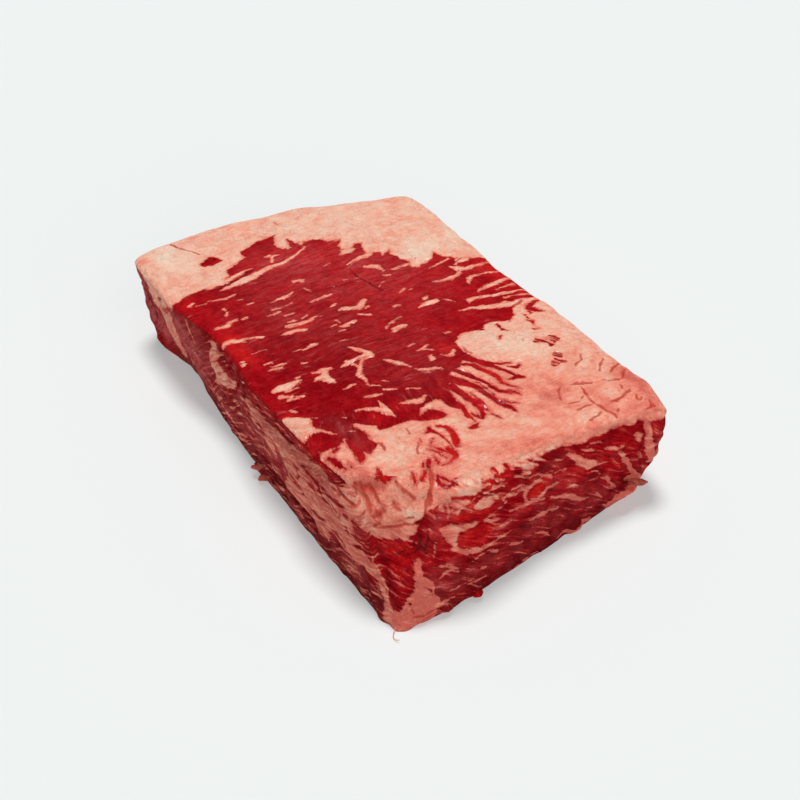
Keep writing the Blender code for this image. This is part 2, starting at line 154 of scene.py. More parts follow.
NEAR_FLECKS = (
    ((-48, -15, 1.2), (-48, -19, 1.7), (-48, -23, 1.3), (-47.5, -30, 0.7)), ((-37.9, -17.5, 0.8),
    (-35.8, -20.8, 0.8)), ((-74, -21, 1.4), (-76, -28, 1)), ((-64.6, -33, 0.7), (-62, -37.5, 1.2),
    (-60, -42.5, 1.8), (-60, -46.7, 0.9), (-60, -51, 0.4)), ((-64, -25, 0.6), (-58, -24, 0.5)), ((-13.8, -17.5, 1),
    (-11.3, -24, 1.9), (-11.7, -29, 0.9)), ((-20, -28, 0.6), (-16, -27, 0.6)), ((-15, -30, 0.6), (-14, -35, 0.5)),
    ((-7, -28, 0.9), (-6.5, -32, 0.7)), ((3, -31, 0.5), (2.5, -37, 0.5)), ((-29, -32, 0.4), (-30, -36, 0.6),
    (-28.8, -40, 1.5), (-28.8, -46, 1.8), (-29.5, -52, 1.8), (-29, -56.5, 0.9)), ((-20.4, -46.7, 0.9),
    (-21.7, -51.7, 2.2), (-21.7, -57.5, 2.3), (-21.7, -63, 0.8)), ((-36, -39, 1), (-33.5, -43, 0.9)),
    ((-34, -48, 1), (-33, -52, 0.9)), ((-43, -44, 1), (-42.5, -50, 0.8)), ((-53, -40, 0.4), (-52, -48, 0.5),
    (-51.5, -55, 0.4)), ((-48, -50, 0.7), (-46.5, -60, 0.6)), ((-65, -61, 0.7), (-65, -64, 0.6)),
    ((-71.5, -65, 0.8), (-71.5, -67.5, 0.7)), ((-51.5, -71, 0.8), (-51, -75, 0.7)), ((-2, -50, 1.1),
    (-2.5, -53, 1.8), (-1, -56, 1.2), (0, -60, 0.4)), ((-1.5, -61, 0.7), (-1.5, -66, 0.6)), ((12, -64, 0.5),
    (11, -67, 0.5)), ((11.5, -36, 1.1), (16.5, -32.5, 1.9), (21.5, -29, 2.6), (25.8, -30, 2.2), (27.5, -34, 1)),
    ((23.5, -31, 1.6), (24.5, -38, 1.1), (25.5, -43, 2), (26, -49, 1)), ((26.5, -35, 1.2), (31, -39, 1.1),
    (36, -42.5, 1.6), (42, -46, 2.2), (47, -45.5, 1.5), (53, -46, 0.5)), ((24, -45, 1.4), (30, -42, 1.4),
    (34, -41, 1.4)), ((33, -24, 1.2), (37, -21, 2.4), (40, -19.3, 2.4), (44, -17.3, 1.3), (49, -15.5, 0.5)),
    ((24, -56, 1.8), (23.5, -61, 2.3), (23.5, -66.5, 1.2)), ((26, -60, 2.5), (31, -63, 3.4), (36, -62.5, 3),
    (39.5, -61, 1)), ((31, -66, 2.4), (32, -69.5, 0.9)), ((7, -75.5, 0.8), (6.5, -79, 1.5), (6, -83.5, 0.7)),
    ((10, -79, 1), (9, -83, 1.3), (8, -86.5, 0.6)), ((2, -82, 1), (2, -86, 0.9)), ((-13.5, -78, 0.5),
    (-13.5, -87, 0.5)), ((23, -74, 0.5), (24, -77, 0.5)), ((27, -77, 1), (28, -82, 3), (28.3, -88, 3.6),
    (29, -94.5, 1.3)), ((38.5, -88.5, 1.3), (36, -93.5, 1.8)), ((42, -86, 0.9), (41, -91, 0.9)), ((33, -80, 0.6),
    (33, -88, 0.6)), ((-27.5, -73.5, 1.2), (-31, -77, 1), (-32, -82, 1.4), (-31.5, -86, 1.9), (-33.5, -90, 2.3),
    (-33, -94.5, 2.2), (-30, -98, 0.9)), ((-28.5, -84, 0.8), (-32, -85, 1)), ((-53, -77, 0.6), (-51, -82, 1.3),
    (-49, -86, 1.8), (-50, -90, 1.4), (-50, -94.5, 0.5)), ((-67, -79.5, 0.7), (-62, -80, 0.9), (-59.5, -82, 1.1)),
    ((-79, -66, 0.6), (-76.5, -74, 0.9), (-78, -80, 0.9), (-80, -84.5, 0.6)), ((-78, -86, 0.7), (-79, -93, 0.7)),
    ((-84, -93, 1.4), (-82, -96, 1.4)), ((54, -44, 1), (56, -40.5, 0.5)), ((61, -41, 0.8), (62, -37.5, 1.1),
    (63, -34.5, 0.4)), ((66, -29, 0.6), (68, -22, 0.5)), ((61.5, -54, 0.9), (63, -49, 1.2), (64, -44.5, 0.7)),
    ((49, -60, 0.7), (48.5, -56, 1), (49, -53, 0.5)), ((52.5, -37, 0.5), (54, -34.5, 0.5)), ((73, -74.5, 0.6),
    (74.5, -73, 0.5)), ((88, -79, 0.7), (89, -76.5, 0.5)), ((51, -94, 1.2), (53, -92.5, 1.2)), ((40, -86, 0.6),
    (42, -82, 0.6)), ((-8, -96, 1.4), (-4, -97, 1.4)),
)

# Fat lying in the lean of the top as patches
TOP_FAT_PATCHES = (
    ((-93, 25), (-90, 26), (-88, 24), (-86, 21), (-88, 16), (-88.5, 12.5), (-91, 16), (-94, 18)), ((64, -86),
    (66, -85), (62, -89.5), (67, -90), (70, -92), (76, -93), (79, -90.5), (83, -88), (87, -86.5), (85, -89),
    (81, -92), (80, -96), (82, -101), (84, -112), (57, -112), (55, -100), (58, -96), (61, -91)), ((82, -20),
    (90, -19), (94, -21), (91, -25), (88.5, -29), (90, -33), (93, -37), (87, -34.5), (85, -31), (83, -27)),
)

# Fine dark lean lines in the fat, and the creases and cracks that are cut into the surface
TOP_CREASES = (
    ((-100, -42.5, 0.9), (-96.7, -51.7, 1), (-93.7, -60, 1), (-91.2, -66.7, 0.9), (-90, -71.7, 0.7)),
    ((-71, 11, 0.4), (-62, 11, 0.7), (-57, 13, 0.8), (-52, 15, 0.9), (-46, 15, 0.8), (-38, 16.5, 0.5)),
    ((-56, 9, 0.3), (-56, 2, 0.5), (-56, -8, 0.5), (-57, -14, 0.3)), ((-67, -13, 0.5), (-68, -20, 0.5)),
    ((-166, -72, 0.4), (-159, -74, 0.6), (-154, -72.5, 0.6), (-146.7, -71.5, 0.6), (-140, -66.7, 0.6),
    (-135, -64, 0.3)), ((11, 88, 0.5), (14, 83, 0.7), (15, 79, 0.5)), ((108, 60, 0.4), (113, 59.5, 0.7),
    (117, 58, 0.7), (122, 57, 0.5), (127, 57, 0.6), (131, 58, 0.8), (136, 59, 0.9), (139, 61, 0.6), (145, 61, 0.7)),
    ((125, 83, 0.9), (126, 80, 0.7), (128, 74, 0.6), (129.5, 70.5, 1), (130, 66, 0.4)), ((95, 100, 0.5),
    (98, 95, 0.6), (101, 90, 0.7), (104, 86.5, 0.4)), ((100, 101, 0.3), (106, 94, 0.5), (112, 89, 0.5),
    (114, 84, 0.6)), ((89, 92, 0.3), (94, 87, 0.5), (100, 80.5, 0.5)), ((136, 90, 0.4), (141, 86, 0.7),
    (143, 81, 0.6)), ((109, 69, 0.4), (107, 64, 0.8), (106, 57, 0.6)), ((130, 84, 0.3), (132, 82.5, 0.5),
    (134.5, 83.5, 0.5), (133, 85.5, 0.3)), ((135.5, 67, 0.6), (137.5, 65, 0.6)), ((119, 82, 0.4), (122, 80, 0.4)),
    ((102, 52, 0.2), (107, 46, 0.4), (115, 42, 0.3)), ((135.5, 55, 0.3), (137.5, 51, 0.5), (138.5, 45, 0.4)),
    ((118, 56, 0.2), (121, 51, 0.4), (120.5, 44, 0.3)), ((127.5, 55, 0.2), (127.5, 50, 0.4), (128.5, 44, 0.2)),
    ((104.5, 61, 0.4), (105, 56, 0.6)), ((110, 74, 0.2), (112.5, 80, 0.4), (113.5, 85, 0.9)), ((148, 82, 0.4),
    (146, 86, 0.8), (141, 89, 0.6)), ((82, -23, 0.3), (85, -31, 0.5)), ((108, -70.5, 0.6), (111, -70.8, 0.7),
    (114, -72, 0.3)), ((100, -51, 0.2), (108, -52.5, 0.4)), ((113, -50, 0.2), (118, -52, 0.4)), ((116, -53, 0.2),
    (124, -58, 0.5)), ((134, -58, 0.4), (140, -60, 0.8), (145, -62, 1.2), (150, -65.5, 1.3), (155, -69, 1.4)),
    ((127, -98, 0.5), (131, -95.5, 0.8), (137, -95, 0.7), (141, -94, 0.5), (143, -91, 0.6), (146, -89, 0.5),
    (151, -86, 0.3)), ((130, -96, 0.4), (134, -92.5, 0.7), (138, -91.5, 0.5), (143, -90.5, 0.3)), ((146, -86, 0.3),
    (151, -83, 0.5), (155, -78, 0.4)), ((154, -70, 0.4), (156, -75, 0.7), (155.5, -81, 0.4)), ((142, -82, 0.3),
    (147, -80, 0.5), (152, -76, 0.3)), ((43, 22.5, 0.4), (49, 22, 0.7), (53, 23, 0.4)), ((80, 82, 0.2),
    (85, 79, 0.3), (88, 74, 0.4), (90, 71, 0.3)), ((-153, -2, 0.2), (-143, 1, 0.3)), ((-112, -14, 0.3),
    (-104, -20, 0.3)),
)

# Bruised spots on the fat of the top, as patches
BRUISES = (
    ((54, 83), (57, 82), (60, 83), (62, 82), (63, 78), (65, 75), (67, 72), (66, 69), (62, 71), (61, 68), (60, 64),
    (57, 63), (55, 66), (52, 65), (51, 68), (52, 70), (54, 73), (53, 76), (55, 79)), ((73, 72), (76, 74), (78, 73),
    (80, 70), (83, 71), (85, 69), (84, 66), (86, 63), (87, 59), (84, 57), (81, 58), (79, 60), (78, 63), (75, 65),
    (72, 66), (71, 68)), ((51, 62), (54, 61), (57, 60), (56, 57.5), (52, 59)),
)

# Fat of the left wall, as patches of (x, z)
LEFT_FAT_PATCHES = (
    ((-175, 80), (-88, 80), (-89, 62), (-93, 58), (-97, 53), (-98, 48), (-101, 42), (-104, 35), (-106, 28),
    (-107, 20), (-104, 11), (-108, 9), (-112, 12), (-115, 19), (-118, 26), (-122, 33), (-127, 37), (-134, 40),
    (-136, 46), (-133, 52), (-131, 57), (-138, 59), (-146, 60.5), (-152, 60), (-159, 55), (-161, 40), (-175, 40)),
    ((-46, 62), (-42, 65), (-38, 62), (-36, 57), (-38, 52), (-30, 49), (-20, 51), (-10, 56), (-7, 54), (-12, 48),
    (-20, 42), (-30, 37), (-38, 33), (-46, 32), (-42, 40), (-47, 47), (-48, 54)), ((5, 55), (20, 55), (40, 54.5),
    (55, 57), (75, 59.5), (92, 60), (108, 63), (118, 70), (128, 77), (175, 84), (175, 56), (150, 54), (142, 50),
    (138, 44), (146, 36), (153, 30), (160, 20), (166, 0), (156, 0), (154, 16), (150, 24), (136, 24), (128, 19),
    (118, 21), (108, 27), (100, 22), (97, 12), (86, 11), (80, 15), (66, 13), (54, 14), (50, 22), (57, 32), (58, 38),
    (47, 44), (38, 47), (22, 48), (8, 50)), ((10, 47), (18, 49), (24, 46), (21, 40), (13, 42)), ((30, 46), (36, 48),
    (42, 44), (45, 36), (40, 32), (33, 37), (29, 41)),
)
LEFT_FAT_STROKES = (
    ((-76, 66, 0.6), (-74, 61, 1), (-69, 56, 1), (-65, 50, 0.7), (-62, 45, 0.3)), ((-110, 16, 0.5), (-90, 22, 1),
    (-72, 27, 0.7), (-55, 28, 0.3)), ((-98, 12, 0.6), (-82, 15, 1.1), (-62, 17, 0.9), (-45, 19, 1.3),
    (-30, 18, 1.4), (-18, 14, 0.6)), ((-60, 26, 0.3), (-40, 24, 1), (-22, 26, 1.1), (-6, 29, 0.5)), ((-4, 28, 0.6),
    (4, 29, 1.2), (12, 28, 0.4)), ((-85, 38, 0.3), (-70, 41, 0.8), (-58, 39, 0.3)), ((-30, 11, 0.4), (-14, 10, 1.4),
    (-2, 12, 0.6)), ((22, 14, 0.5), (30, 18, 1), (40, 22, 0.8), (46, 26, 0.3)), ((20, 33, 0.3), (28, 27, 0.8),
    (44, 25, 0.9), (52, 22, 0.4)), ((30, 6, 0.5), (40, 7, 1.6), (50, 9, 0.8)), ((57, 7, 0.8), (62, 8, 1.6),
    (68, 7, 0.8)), ((-5, 20, 0.3), (8, 19, 0.6), (20, 22, 0.3)), ((15, 66, 0.3), (30, 68, 0.6), (48, 69, 0.3)),
    ((-20, 67, 0.3), (-8, 68.5, 0.6), (2, 68, 0.3)), ((118, 10, 0.5), (128, 12, 0.9), (137, 11, 0.4)),
    ((106, 6, 0.4), (114, 8, 0.8), (122, 6, 0.3)),
)
LEFT_LEAN_STROKES = (
    ((-124, 48, 0.5), (-118, 52, 1.3), (-111, 57, 0.6)), ((-117, 44, 0.5), (-108, 50, 1.2), (-98, 56, 1.1),
    (-92, 60, 0.5)), ((-122, 40, 0.3), (-114, 45, 0.7), (-106, 49, 0.3)), ((130, 52, 1.2), (134, 50.5, 2.4),
    (138, 49, 2.2), (140, 46, 1.4), (136, 44, 1.6), (132, 46.5, 1.4)), ((133, 37, 1), (138, 38.5, 1.8),
    (143, 36, 1.4)), ((13, 32, 0.4), (22, 37, 0.9), (30, 43, 0.6)), ((8, 36, 0.4), (16, 41, 0.8), (24, 47, 0.5)),
    ((40, 30, 0.5), (48, 35, 1.2), (52, 40, 0.6)), ((60, 44, 0.4), (64, 46, 0.7), (68, 46, 0.4)), ((80, 25, 0.4),
    (90, 29, 0.8), (97, 31, 0.4)), ((62, 38, 1.2), (68, 38, 1.6), (74, 37, 1.2), (77, 34, 0.6)), ((73, 43, 0.8),
    (75, 46, 1.1), (74, 49, 0.5)), ((76, 53, 0.5), (84, 53, 0.8), (92, 52, 0.7)), ((70, 50, 0.4), (80, 50, 0.9),
    (89, 50, 0.7)), ((85, 46, 0.7), (89, 47, 1.4), (92, 45, 0.6)), ((93, 52, 0.6), (97, 48, 1), (102, 46, 1.1),
    (110, 46, 0.6)), ((98, 52, 0.6), (104, 52, 1.2), (108, 54, 1), (114, 56, 1), (121, 56, 0.8)), ((122, 52, 1.3),
    (125, 52, 1.3)), ((110, 51, 0.5), (114, 49, 0.7)), ((118, 48, 0.9), (119, 50, 0.7)), ((131, 50, 1.8),
    (135, 49, 2.6), (139, 47, 1.6), (141, 52, 0.6)), ((132, 42, 1.2), (138, 40, 1.5), (143, 37, 1.2)),
    ((104, 26, 0.6), (110, 29, 1.3), (119, 28, 0.7)), ((88, 27, 0.6), (93, 26, 0.8), (97, 28, 0.4)),
    ((124, 45, 0.8), (125, 42, 0.6)), ((70, 24, 0.4), (80, 21, 1.2), (88, 18, 0.7)), ((120, 64, 0.4),
    (112, 65, 0.6), (104, 68, 0.8)), ((108, 77, 1), (116, 75.5, 1), (126, 74, 0.9), (134, 69, 0.7), (138, 62, 0.4)),
    ((140, 64, 0.4), (145, 66, 0.7)), ((143, 54, 0.8), (144, 47, 1.4), (146, 42, 2.4), (152, 36, 3), (158, 28, 2.4),
    (163, 22, 1)),
)

# Fat of the near end, as patches of (y, z)
NEAR_FAT_PATCHES = (
    ((-110, 90), (110, 90), (110, 54), (93, 55), (82, 57), (79, 58.5), (76, 57), (72, 58), (66, 59.5), (60, 61.5),
    (50, 60.5), (42, 61.5), (36, 61), (31, 61), (28, 62), (24, 63), (21, 64.5), (18, 64.5), (14, 65.5), (10, 66),
    (6, 67), (3, 67), (1, 68), (-2, 69), (-5, 70), (-10, 70), (-14, 70.5), (-19, 70), (-22, 72), (-25, 71),
    (-28, 71.5), (-30, 73.5), (-32, 71), (-36, 70.8), (-41, 70.8), (-46, 69), (-50, 70), (-51, 68), (-53, 66),
    (-56, 61), (-57.5, 62), (-55.5, 66), (-58, 67.5), (-61, 69.5), (-64, 69.5), (-66, 72), (-68, 72), (-71, 66),
    (-74, 63), (-77, 59), (-78, 55), (-80, 54), (-82, 53), (-84, 50), (-86, 52), (-88, 51), (-93, 51), (-96, 50),
    (-99, 52), (-110, 58)), ((-67, 56), (-63, 57.3), (-60, 57.8), (-57, 55.8), (-52, 55), (-46, 52.8),
    (-42.5, 50.5), (-46, 49.3), (-52, 50), (-56, 51), (-58, 49), (-58.5, 45), (-57, 41), (-54, 37.5), (-49, 34.5),
    (-43, 33), (-36, 31.5), (-26, 30.5), (-26, 29.7), (-38, 29.3), (-46, 30.3), (-53, 33), (-58, 37), (-62, 42),
    (-65, 47), (-66.8, 52)), ((-47, 62), (-44.5, 65), (-41, 66.3), (-37.5, 65), (-36, 62), (-34, 59.5), (-32.5, 57),
    (-37, 56.3), (-42, 57.2), (-44.5, 59.5)), ((-84, 30), (-83, 34), (-81, 37.5), (-79, 38.5), (-78, 36),
    (-78.5, 32.5), (-76, 29), (-73.5, 25), (-72.5, 19), (-71, 14.5), (-70, 11), (-73, 8), (-72, 4), (-75, -5),
    (-100, -5), (-100, 10), (-92, 12), (-90, 17), (-88, 20), (-85, 23), (-84.5, 26)), ((21, 59.5), (24, 59.5),
    (27, 57.5), (30, 55.5), (33, 53), (37, 51), (41, 49.5), (43, 47), (45, 45), (48, 43.5), (52, 41.5), (50, 41),
    (46, 42.3), (42, 43), (38, 43), (35.5, 44.5), (33, 47), (30, 48.5), (28.5, 50.5), (27, 53), (25, 56),
    (22.5, 58)), ((-24, 57.5), (-20, 57.5), (-15, 55.5), (-11, 55.5), (-6, 54.6), (0, 54), (5, 55), (9, 55.3),
    (14, 53.2), (18, 52), (13, 51), (11, 52.5), (7, 54), (3, 53.3), (5, 51), (-2, 51.8), (-8, 51), (-9.3, 49),
    (-6, 44.8), (-1, 42.8), (3.5, 43.8), (6, 46.5), (9, 46), (14, 46.3), (18, 45.3), (10, 44), (4, 41.5), (-2, 41),
    (-8, 43), (-11, 46), (-11.5, 53), (-20, 54.3), (-24, 55.3)), ((70, 52), (73, 53), (77, 50), (76, 46), (73, 47)),
    ((56, -5), (58, 9), (60, 15), (66, 18.5), (72, 19.5), (80, 17.5), (87, 12), (86, -5)),
)
NEAR_FAT_STROKES = (
    ((-30, 30, 0.7), (-24, 30.5, 0.6), (-20, 31, 0.3)), ((-40, 49.5, 0.5), (-36, 48.5, 1), (-32, 46.5, 1.2),
    (-29, 46, 0.5)), ((-40, 50, 0.4), (-30, 52, 0.6), (-24, 53, 0.4)), ((-27, 38, 0.5), (-24, 37, 0.9),
    (-20, 37, 0.6)), ((-26, 56, 0.8), (-20, 60, 0.5), (-14, 58.5, 0.9), (-10, 56, 0.5)), ((-10, 45, 1.6),
    (-6, 43.8, 1.6), (-2, 41.8, 1.2), (2, 40, 1), (6, 38, 0.4)), ((11, 37, 0.5), (15, 34.8, 1.2), (20, 32.5, 2),
    (24, 30, 1.9), (28, 27.5, 1.5), (31, 25, 1.3), (34, 23, 1.4), (38, 21.5, 0.9), (41, 21, 0.4)), ((50, 51.5, 0.5),
    (55, 50, 1.3), (59, 48, 1.3), (63, 48, 0.5)), ((60.5, 45, 1.1), (63, 41, 1.6), (66, 36, 1.5), (69, 32, 1.5),
    (72, 27.5, 1.8), (75, 23, 1.8), (79, 17, 1.2)), ((49.5, 30.5, 0.6), (53, 28, 1.1), (56, 24, 1.2),
    (60, 20, 0.5)), ((79, 60, 1.8), (79.5, 53, 2), (80, 47, 2.1), (82, 41, 3), (84.5, 35, 3.4), (87.5, 29, 3),
    (90, 24, 2)), ((77, 36, 0.8), (78, 32, 1)), ((86, 27, 3), (92, 30, 2.5)), ((-15, 71, 1), (-10, 67.5, 1.3),
    (-6, 65, 1), (-3, 63, 0.4)), ((-18, 66.5, 0.4), (-13, 63.5, 1.1), (-10, 61, 0.5)), ((-9, 68.5, 0.5),
    (-4, 66.5, 0.8), (1, 63.5, 0.6)), ((-2, 68, 0.6), (3, 66.2, 0.9), (5.5, 63.5, 0.3)), ((-10, 62, 0.4),
    (-5, 58.5, 0.8), (0, 56.5, 0.6), (5, 54.5, 0.9), (9.5, 51.8, 1.3), (10.5, 50, 0.4)), ((9, 57, 0.3),
    (13, 56, 0.7), (16.5, 54.3, 0.3)), ((11, 53, 0.4), (16, 52.3, 0.7), (21, 51, 0.3)), ((36, 59, 0.3),
    (42, 58, 0.7), (47, 56.5, 0.3)), ((-48, 67.8, 0.3), (-42, 68.8, 0.7), (-35, 67.8, 0.7), (-29, 65.5, 0.3)),
    ((-6, 29.5, 0.6), (2, 28.3, 1.1), (9, 28, 0.9), (16, 26, 0.7)), ((-21, 22.5, 0.4), (-16, 20, 0.9),
    (-10, 18, 0.5)), ((0, 17.5, 0.4), (5, 16, 0.9), (9, 11.5, 0.8), (11, 9, 0.3)), ((-42, 18.5, 0.9),
    (-38.5, 18, 0.8)), ((-52, 12, 0.3), (-46, 11, 0.7), (-38, 11.2, 0.4)), ((-35, 25.5, 1), (-31, 24.5, 1.2)),
    ((47, 20, 1), (50, 16, 0.8)), ((-72, 17, 0.3), (-60, 14.5, 0.7), (-50, 14, 0.3)), ((-50, 26, 0.2),
    (-42, 27.5, 0.5), (-30, 26.5, 0.3)), ((40, 15, 0.4), (44, 12, 0.6)), ((-36, 72, 0.6), (-30, 70, 0.9),
    (-26, 68, 0.4)), ((-58, 63, 0.6), (-54, 65, 1), (-51, 68, 0.8)), ((-66, 32, 0.5), (-62, 30, 1.2),
    (-59, 27.5, 0.6)), ((-66, 60, 0.3), (-64.5, 66, 0.8), (-64, 72, 0.6)), ((-62, 60, 0.3), (-61.5, 66, 0.8),
    (-62, 71, 0.6)), ((-68.5, 61, 0.2), (-68, 67, 0.5), (-66, 73, 0.4)), ((-71, 60, 0.2), (-71, 56, 0.4),
    (-69, 51, 0.2)), ((-14, 1, 0.3), (-6, 1.6, 0.8), (3, 2, 0.3)), ((18, 2.5, 0.4), (26, 4, 1.2), (36, 4, 1.7),
    (43, 3, 0.5)), ((-60, 68.5, 0.4), (-56, 66.5, 1), (-52, 64, 0.4)), ((-70, 48, 0.2), (-69, 52, 0.6),
    (-70, 57, 0.3)), ((-73, 40, 0.2), (-71, 44, 0.5), (-71, 48, 0.2)), ((-62, 62, 0.2), (-59.5, 65, 0.5),
    (-58, 69, 0.2)), ((-70, 26, 0.4), (-66, 28, 1.4), (-61, 27, 1), (-57, 25, 0.4)), ((-73, 35, 0.3),
    (-69, 33.5, 0.8), (-65, 32.5, 0.9), (-62, 31, 0.4)), ((-74, 8, 0.4), (-68, 9.5, 0.8), (-60, 9, 0.3)),
    ((-74, 2, 0.6), (-69, 3.5, 0.8), (-63, 3, 0.3)), ((-38, 66, 0.8), (-34, 63, 0.9), (-31, 60, 0.3)),
    ((-28, 59, 0.3), (-25, 57.5, 1), (-21, 56, 0.5)), ((-14, 65.5, 0.6), (-10, 63.5, 1.5), (-6, 61.5, 0.7)),
    ((-34, 69, 0.3), (-29, 67, 0.6), (-25, 64, 0.3)), ((14, 60, 0.3), (18, 58.5, 0.6), (21, 57, 0.3)),
    ((32, 58, 0.3), (36, 56.5, 0.8), (41, 54, 0.4)), ((-22, 47, 0.3), (-17, 46, 0.7), (-12, 44, 0.4)),
    ((40, 41, 0.3), (44, 39, 0.7), (47, 36, 0.3)), ((22, 38.5, 0.3), (27, 37, 0.6), (31, 34, 0.3)),
)
NEAR_LEAN_STROKES = (
    ((-40, 65.5, 0.5), (-36, 64, 1), (-33, 62.5, 0.7)), ((-58.5, 71.2, 0.5), (-54, 70.2, 1), (-49, 69.2, 0.9),
    (-43, 69, 0.8)), ((-7, 48.5, 1), (-2, 47.5, 2.4), (3, 47.5, 1.8)), ((-40, 74, 0.5), (-36, 72.5, 0.9),
    (-32, 70.5, 0.8)), ((-30, 75, 1), (-28.5, 73, 0.9)), ((-22.5, 73, 0.5), (-20.5, 71, 0.6)), ((-79, 31, 0.4),
    (-75, 29.5, 0.8), (-72, 28, 0.6)), ((-80, 24, 0.2), (-76, 21, 0.5), (-73, 17, 0.3)), ((-88, 17, 0.3),
    (-86, 13, 0.6), (-85, 9, 0.3)), ((-76, 34.5, 0.4), (-72, 31, 1), (-70, 28.5, 0.7)), ((-71, 71, 0.8),
    (-68, 73, 1.2), (-67, 76, 0.6)), ((-64, 60, 1.5), (-66, 66, 1.2), (-67, 72, 0.8)), ((-64, 44, 2),
    (-68, 50, 2.6), (-70, 56, 1.6)), ((-62, 78, 0.4), (-58, 77, 0.8), (-54, 77, 0.4)), ((-92, 64, 0.3),
    (-90, 66, 0.5)), ((-84, 81, 1.2), (-87, 79.5, 1)), ((-78, 61, 0.6), (-75, 60, 1), (-72, 63, 0.7)),
    ((71, 57, 0.5), (74, 59, 0.8), (77, 57.5, 0.5)), ((22, 62, 0.6), (20, 60, 1.2)), ((82, 56, 0.8), (84, 50, 1.4),
    (86, 42, 1.2)),
)

# Creases of the near end and of the left wall
NEAR_CREASES = (
    ((-68, 76, 0.4), (-70, 70, 0.6), (-73.5, 64, 0.9), (-77, 61, 1), (-80, 60, 0.5)), ((-75, 62, 0.2),
    (-76, 54, 0.5), (-77, 48, 0.9), (-75, 43, 0.5)), ((-72, 57, 0.2), (-73, 51, 0.5), (-75, 46, 0.4)),
    ((-79, 52, 0.3), (-80, 48, 0.5), (-78, 43, 0.3)), ((-89, 59, 0.2), (-84, 60.5, 0.4), (-80, 60.5, 0.3)),
    ((-96, 56, 0.3), (-93, 60, 0.4), (-92, 64, 0.3)), ((-91, 42, 0.3), (-85, 44.5, 0.5), (-80, 46, 0.3)),
    ((-92, 38, 0.3), (-87, 40, 0.5), (-82, 41.5, 0.3)), ((-86, 7, 0.2), (-78, 6.5, 0.5), (-70, 8, 0.3)),
    ((-84, 3.5, 0.2), (-76, 3, 0.5), (-71, 4.5, 0.3)), ((-97, 75.5, 0.4), (-94, 74, 0.6), (-91, 71.5, 0.3)),
    ((-99, 73, 0.4), (-96, 71, 0.7), (-95, 67, 0.6), (-96, 63, 0.3)), ((-95, 62.5, 0.5), (-92, 64.5, 0.9),
    (-90, 66.5, 0.5)), ((-86, 63, 0.3), (-82, 64, 0.5), (-79, 64.3, 0.3)), ((-93, 57, 0.3), (-89, 59, 0.5),
    (-85, 59.5, 0.3)), ((-92, 71, 0.3), (-88, 69, 0.5), (-84, 68.5, 0.3)), ((-86, 74, 0.3), (-81, 71, 0.5),
    (-76, 70, 0.3)), ((-94, 63, 0.3), (-90, 66, 0.6)), ((76, 58, 0.6), (77, 48, 0.6), (76, 38, 0.8), (78, 30, 0.8),
    (80, 22, 0.7)), ((50, 43, 0.4), (58, 47, 0.7), (61, 45, 0.6)), ((56, 18, 0.5), (62, 19, 0.6), (70, 16, 0.8)),
    ((-90, 42, 0.3), (-82, 43, 0.7), (-78, 46, 0.8)), ((36, 31, 0.3), (46, 29, 0.6), (52, 33, 0.6)),
)
LEFT_CREASES = (
    ((-40, 57, 0.3), (0, 61, 0.5), (30, 58, 0.5), (56, 58, 0.8), (75, 61, 0.5)), ((100, 71, 0.4), (110, 69, 0.9),
    (120, 66, 1), (131, 64, 0.5)), ((106, 79, 0.4), (118, 77, 0.8), (132, 73, 0.8), (138, 66, 0.4)),
    ((-160, 40, 0.5), (-148, 44, 0.8), (-138, 38, 0.8), (-130, 30, 0.6)), ((-60, 31, 0.3), (-30, 29, 0.6),
    (0, 31, 0.4)), ((10, 13, 0.4), (40, 12, 0.8), (90, 13, 0.8), (98, 10, 0.4)), ((150, 26, 0.3), (158, 20, 0.8),
    (165, 8, 0.5)),
)

# Where the lean is brighter or darker than usual, as (first, second, first radius, second radius, change)
TOP_TONES = (
    (-25, -91, 26, 6, 0.7), (-84, -95, 8, 6, 0.45), (40, 13, 7, 6, 0.6), (-25, -48, 3, 9, 0.9),
    (-36, -89, 3, 4, 0.9), (80, -43, 6, 5, 0.7), (81, -59, 8, 4, 0.6), (98, -30, 5, 8, 0.35), (76, 22, 14, 3, 0.7),
    (94, 0, 12, 3, 0.55), (104, -11, 10, 3, 0.7), (118, -33, 14, 6, 0.85), (134, -46, 9, 9, 0.85),
    (-30, 97, 16, 9, 0.7), (4, 96, 12, 7, 0.45), (26, -66, 4, 3, 0.6), (20, -55, 70, 45, -0.25),
    (88, -80, 24, 6, -0.3), (-50, 30, 50, 50, 0.15), (84, 12, 16, 4, -0.1), (28, 78, 8, 8, 0.6),
    (-96, 0, 14, 25, 0.3), (-110, -38, 16, 18, 0.15), (55, 6, 10, 9, -0.25), (-124, -62, 8, 8, -0.1),
    (112, -85, 12, 5, 0.4), (70, -20, 20, 14, -0.2), (86, -30, 4, 16, -0.2), (-62, 78, 10, 8, 0.4),
    (136, -86, 10, 6, 0.6), (-90, -60, 6, 20, -0.35), (60, -98, 16, 6, 0.5), (145, -68, 12, 8, 0.6),
)
LEFT_TONES = (
    (-130, 10, 24, 9, 0.7), (-30, 64, 30, 5, 0.15), (20, 64, 30, 6, -0.15), (98, 76, 8, 4, 0.8),
    (-60, 58, 14, 10, -0.3), (150, 38, 12, 12, 0.25), (60, 5, 90, 4, 0.2), (-70, 45, 30, 20, -0.15),
    (135, 15, 25, 10, -0.2), (100, 50, 30, 6, 0.25), (-150, 52, 10, 8, 0.2),
)
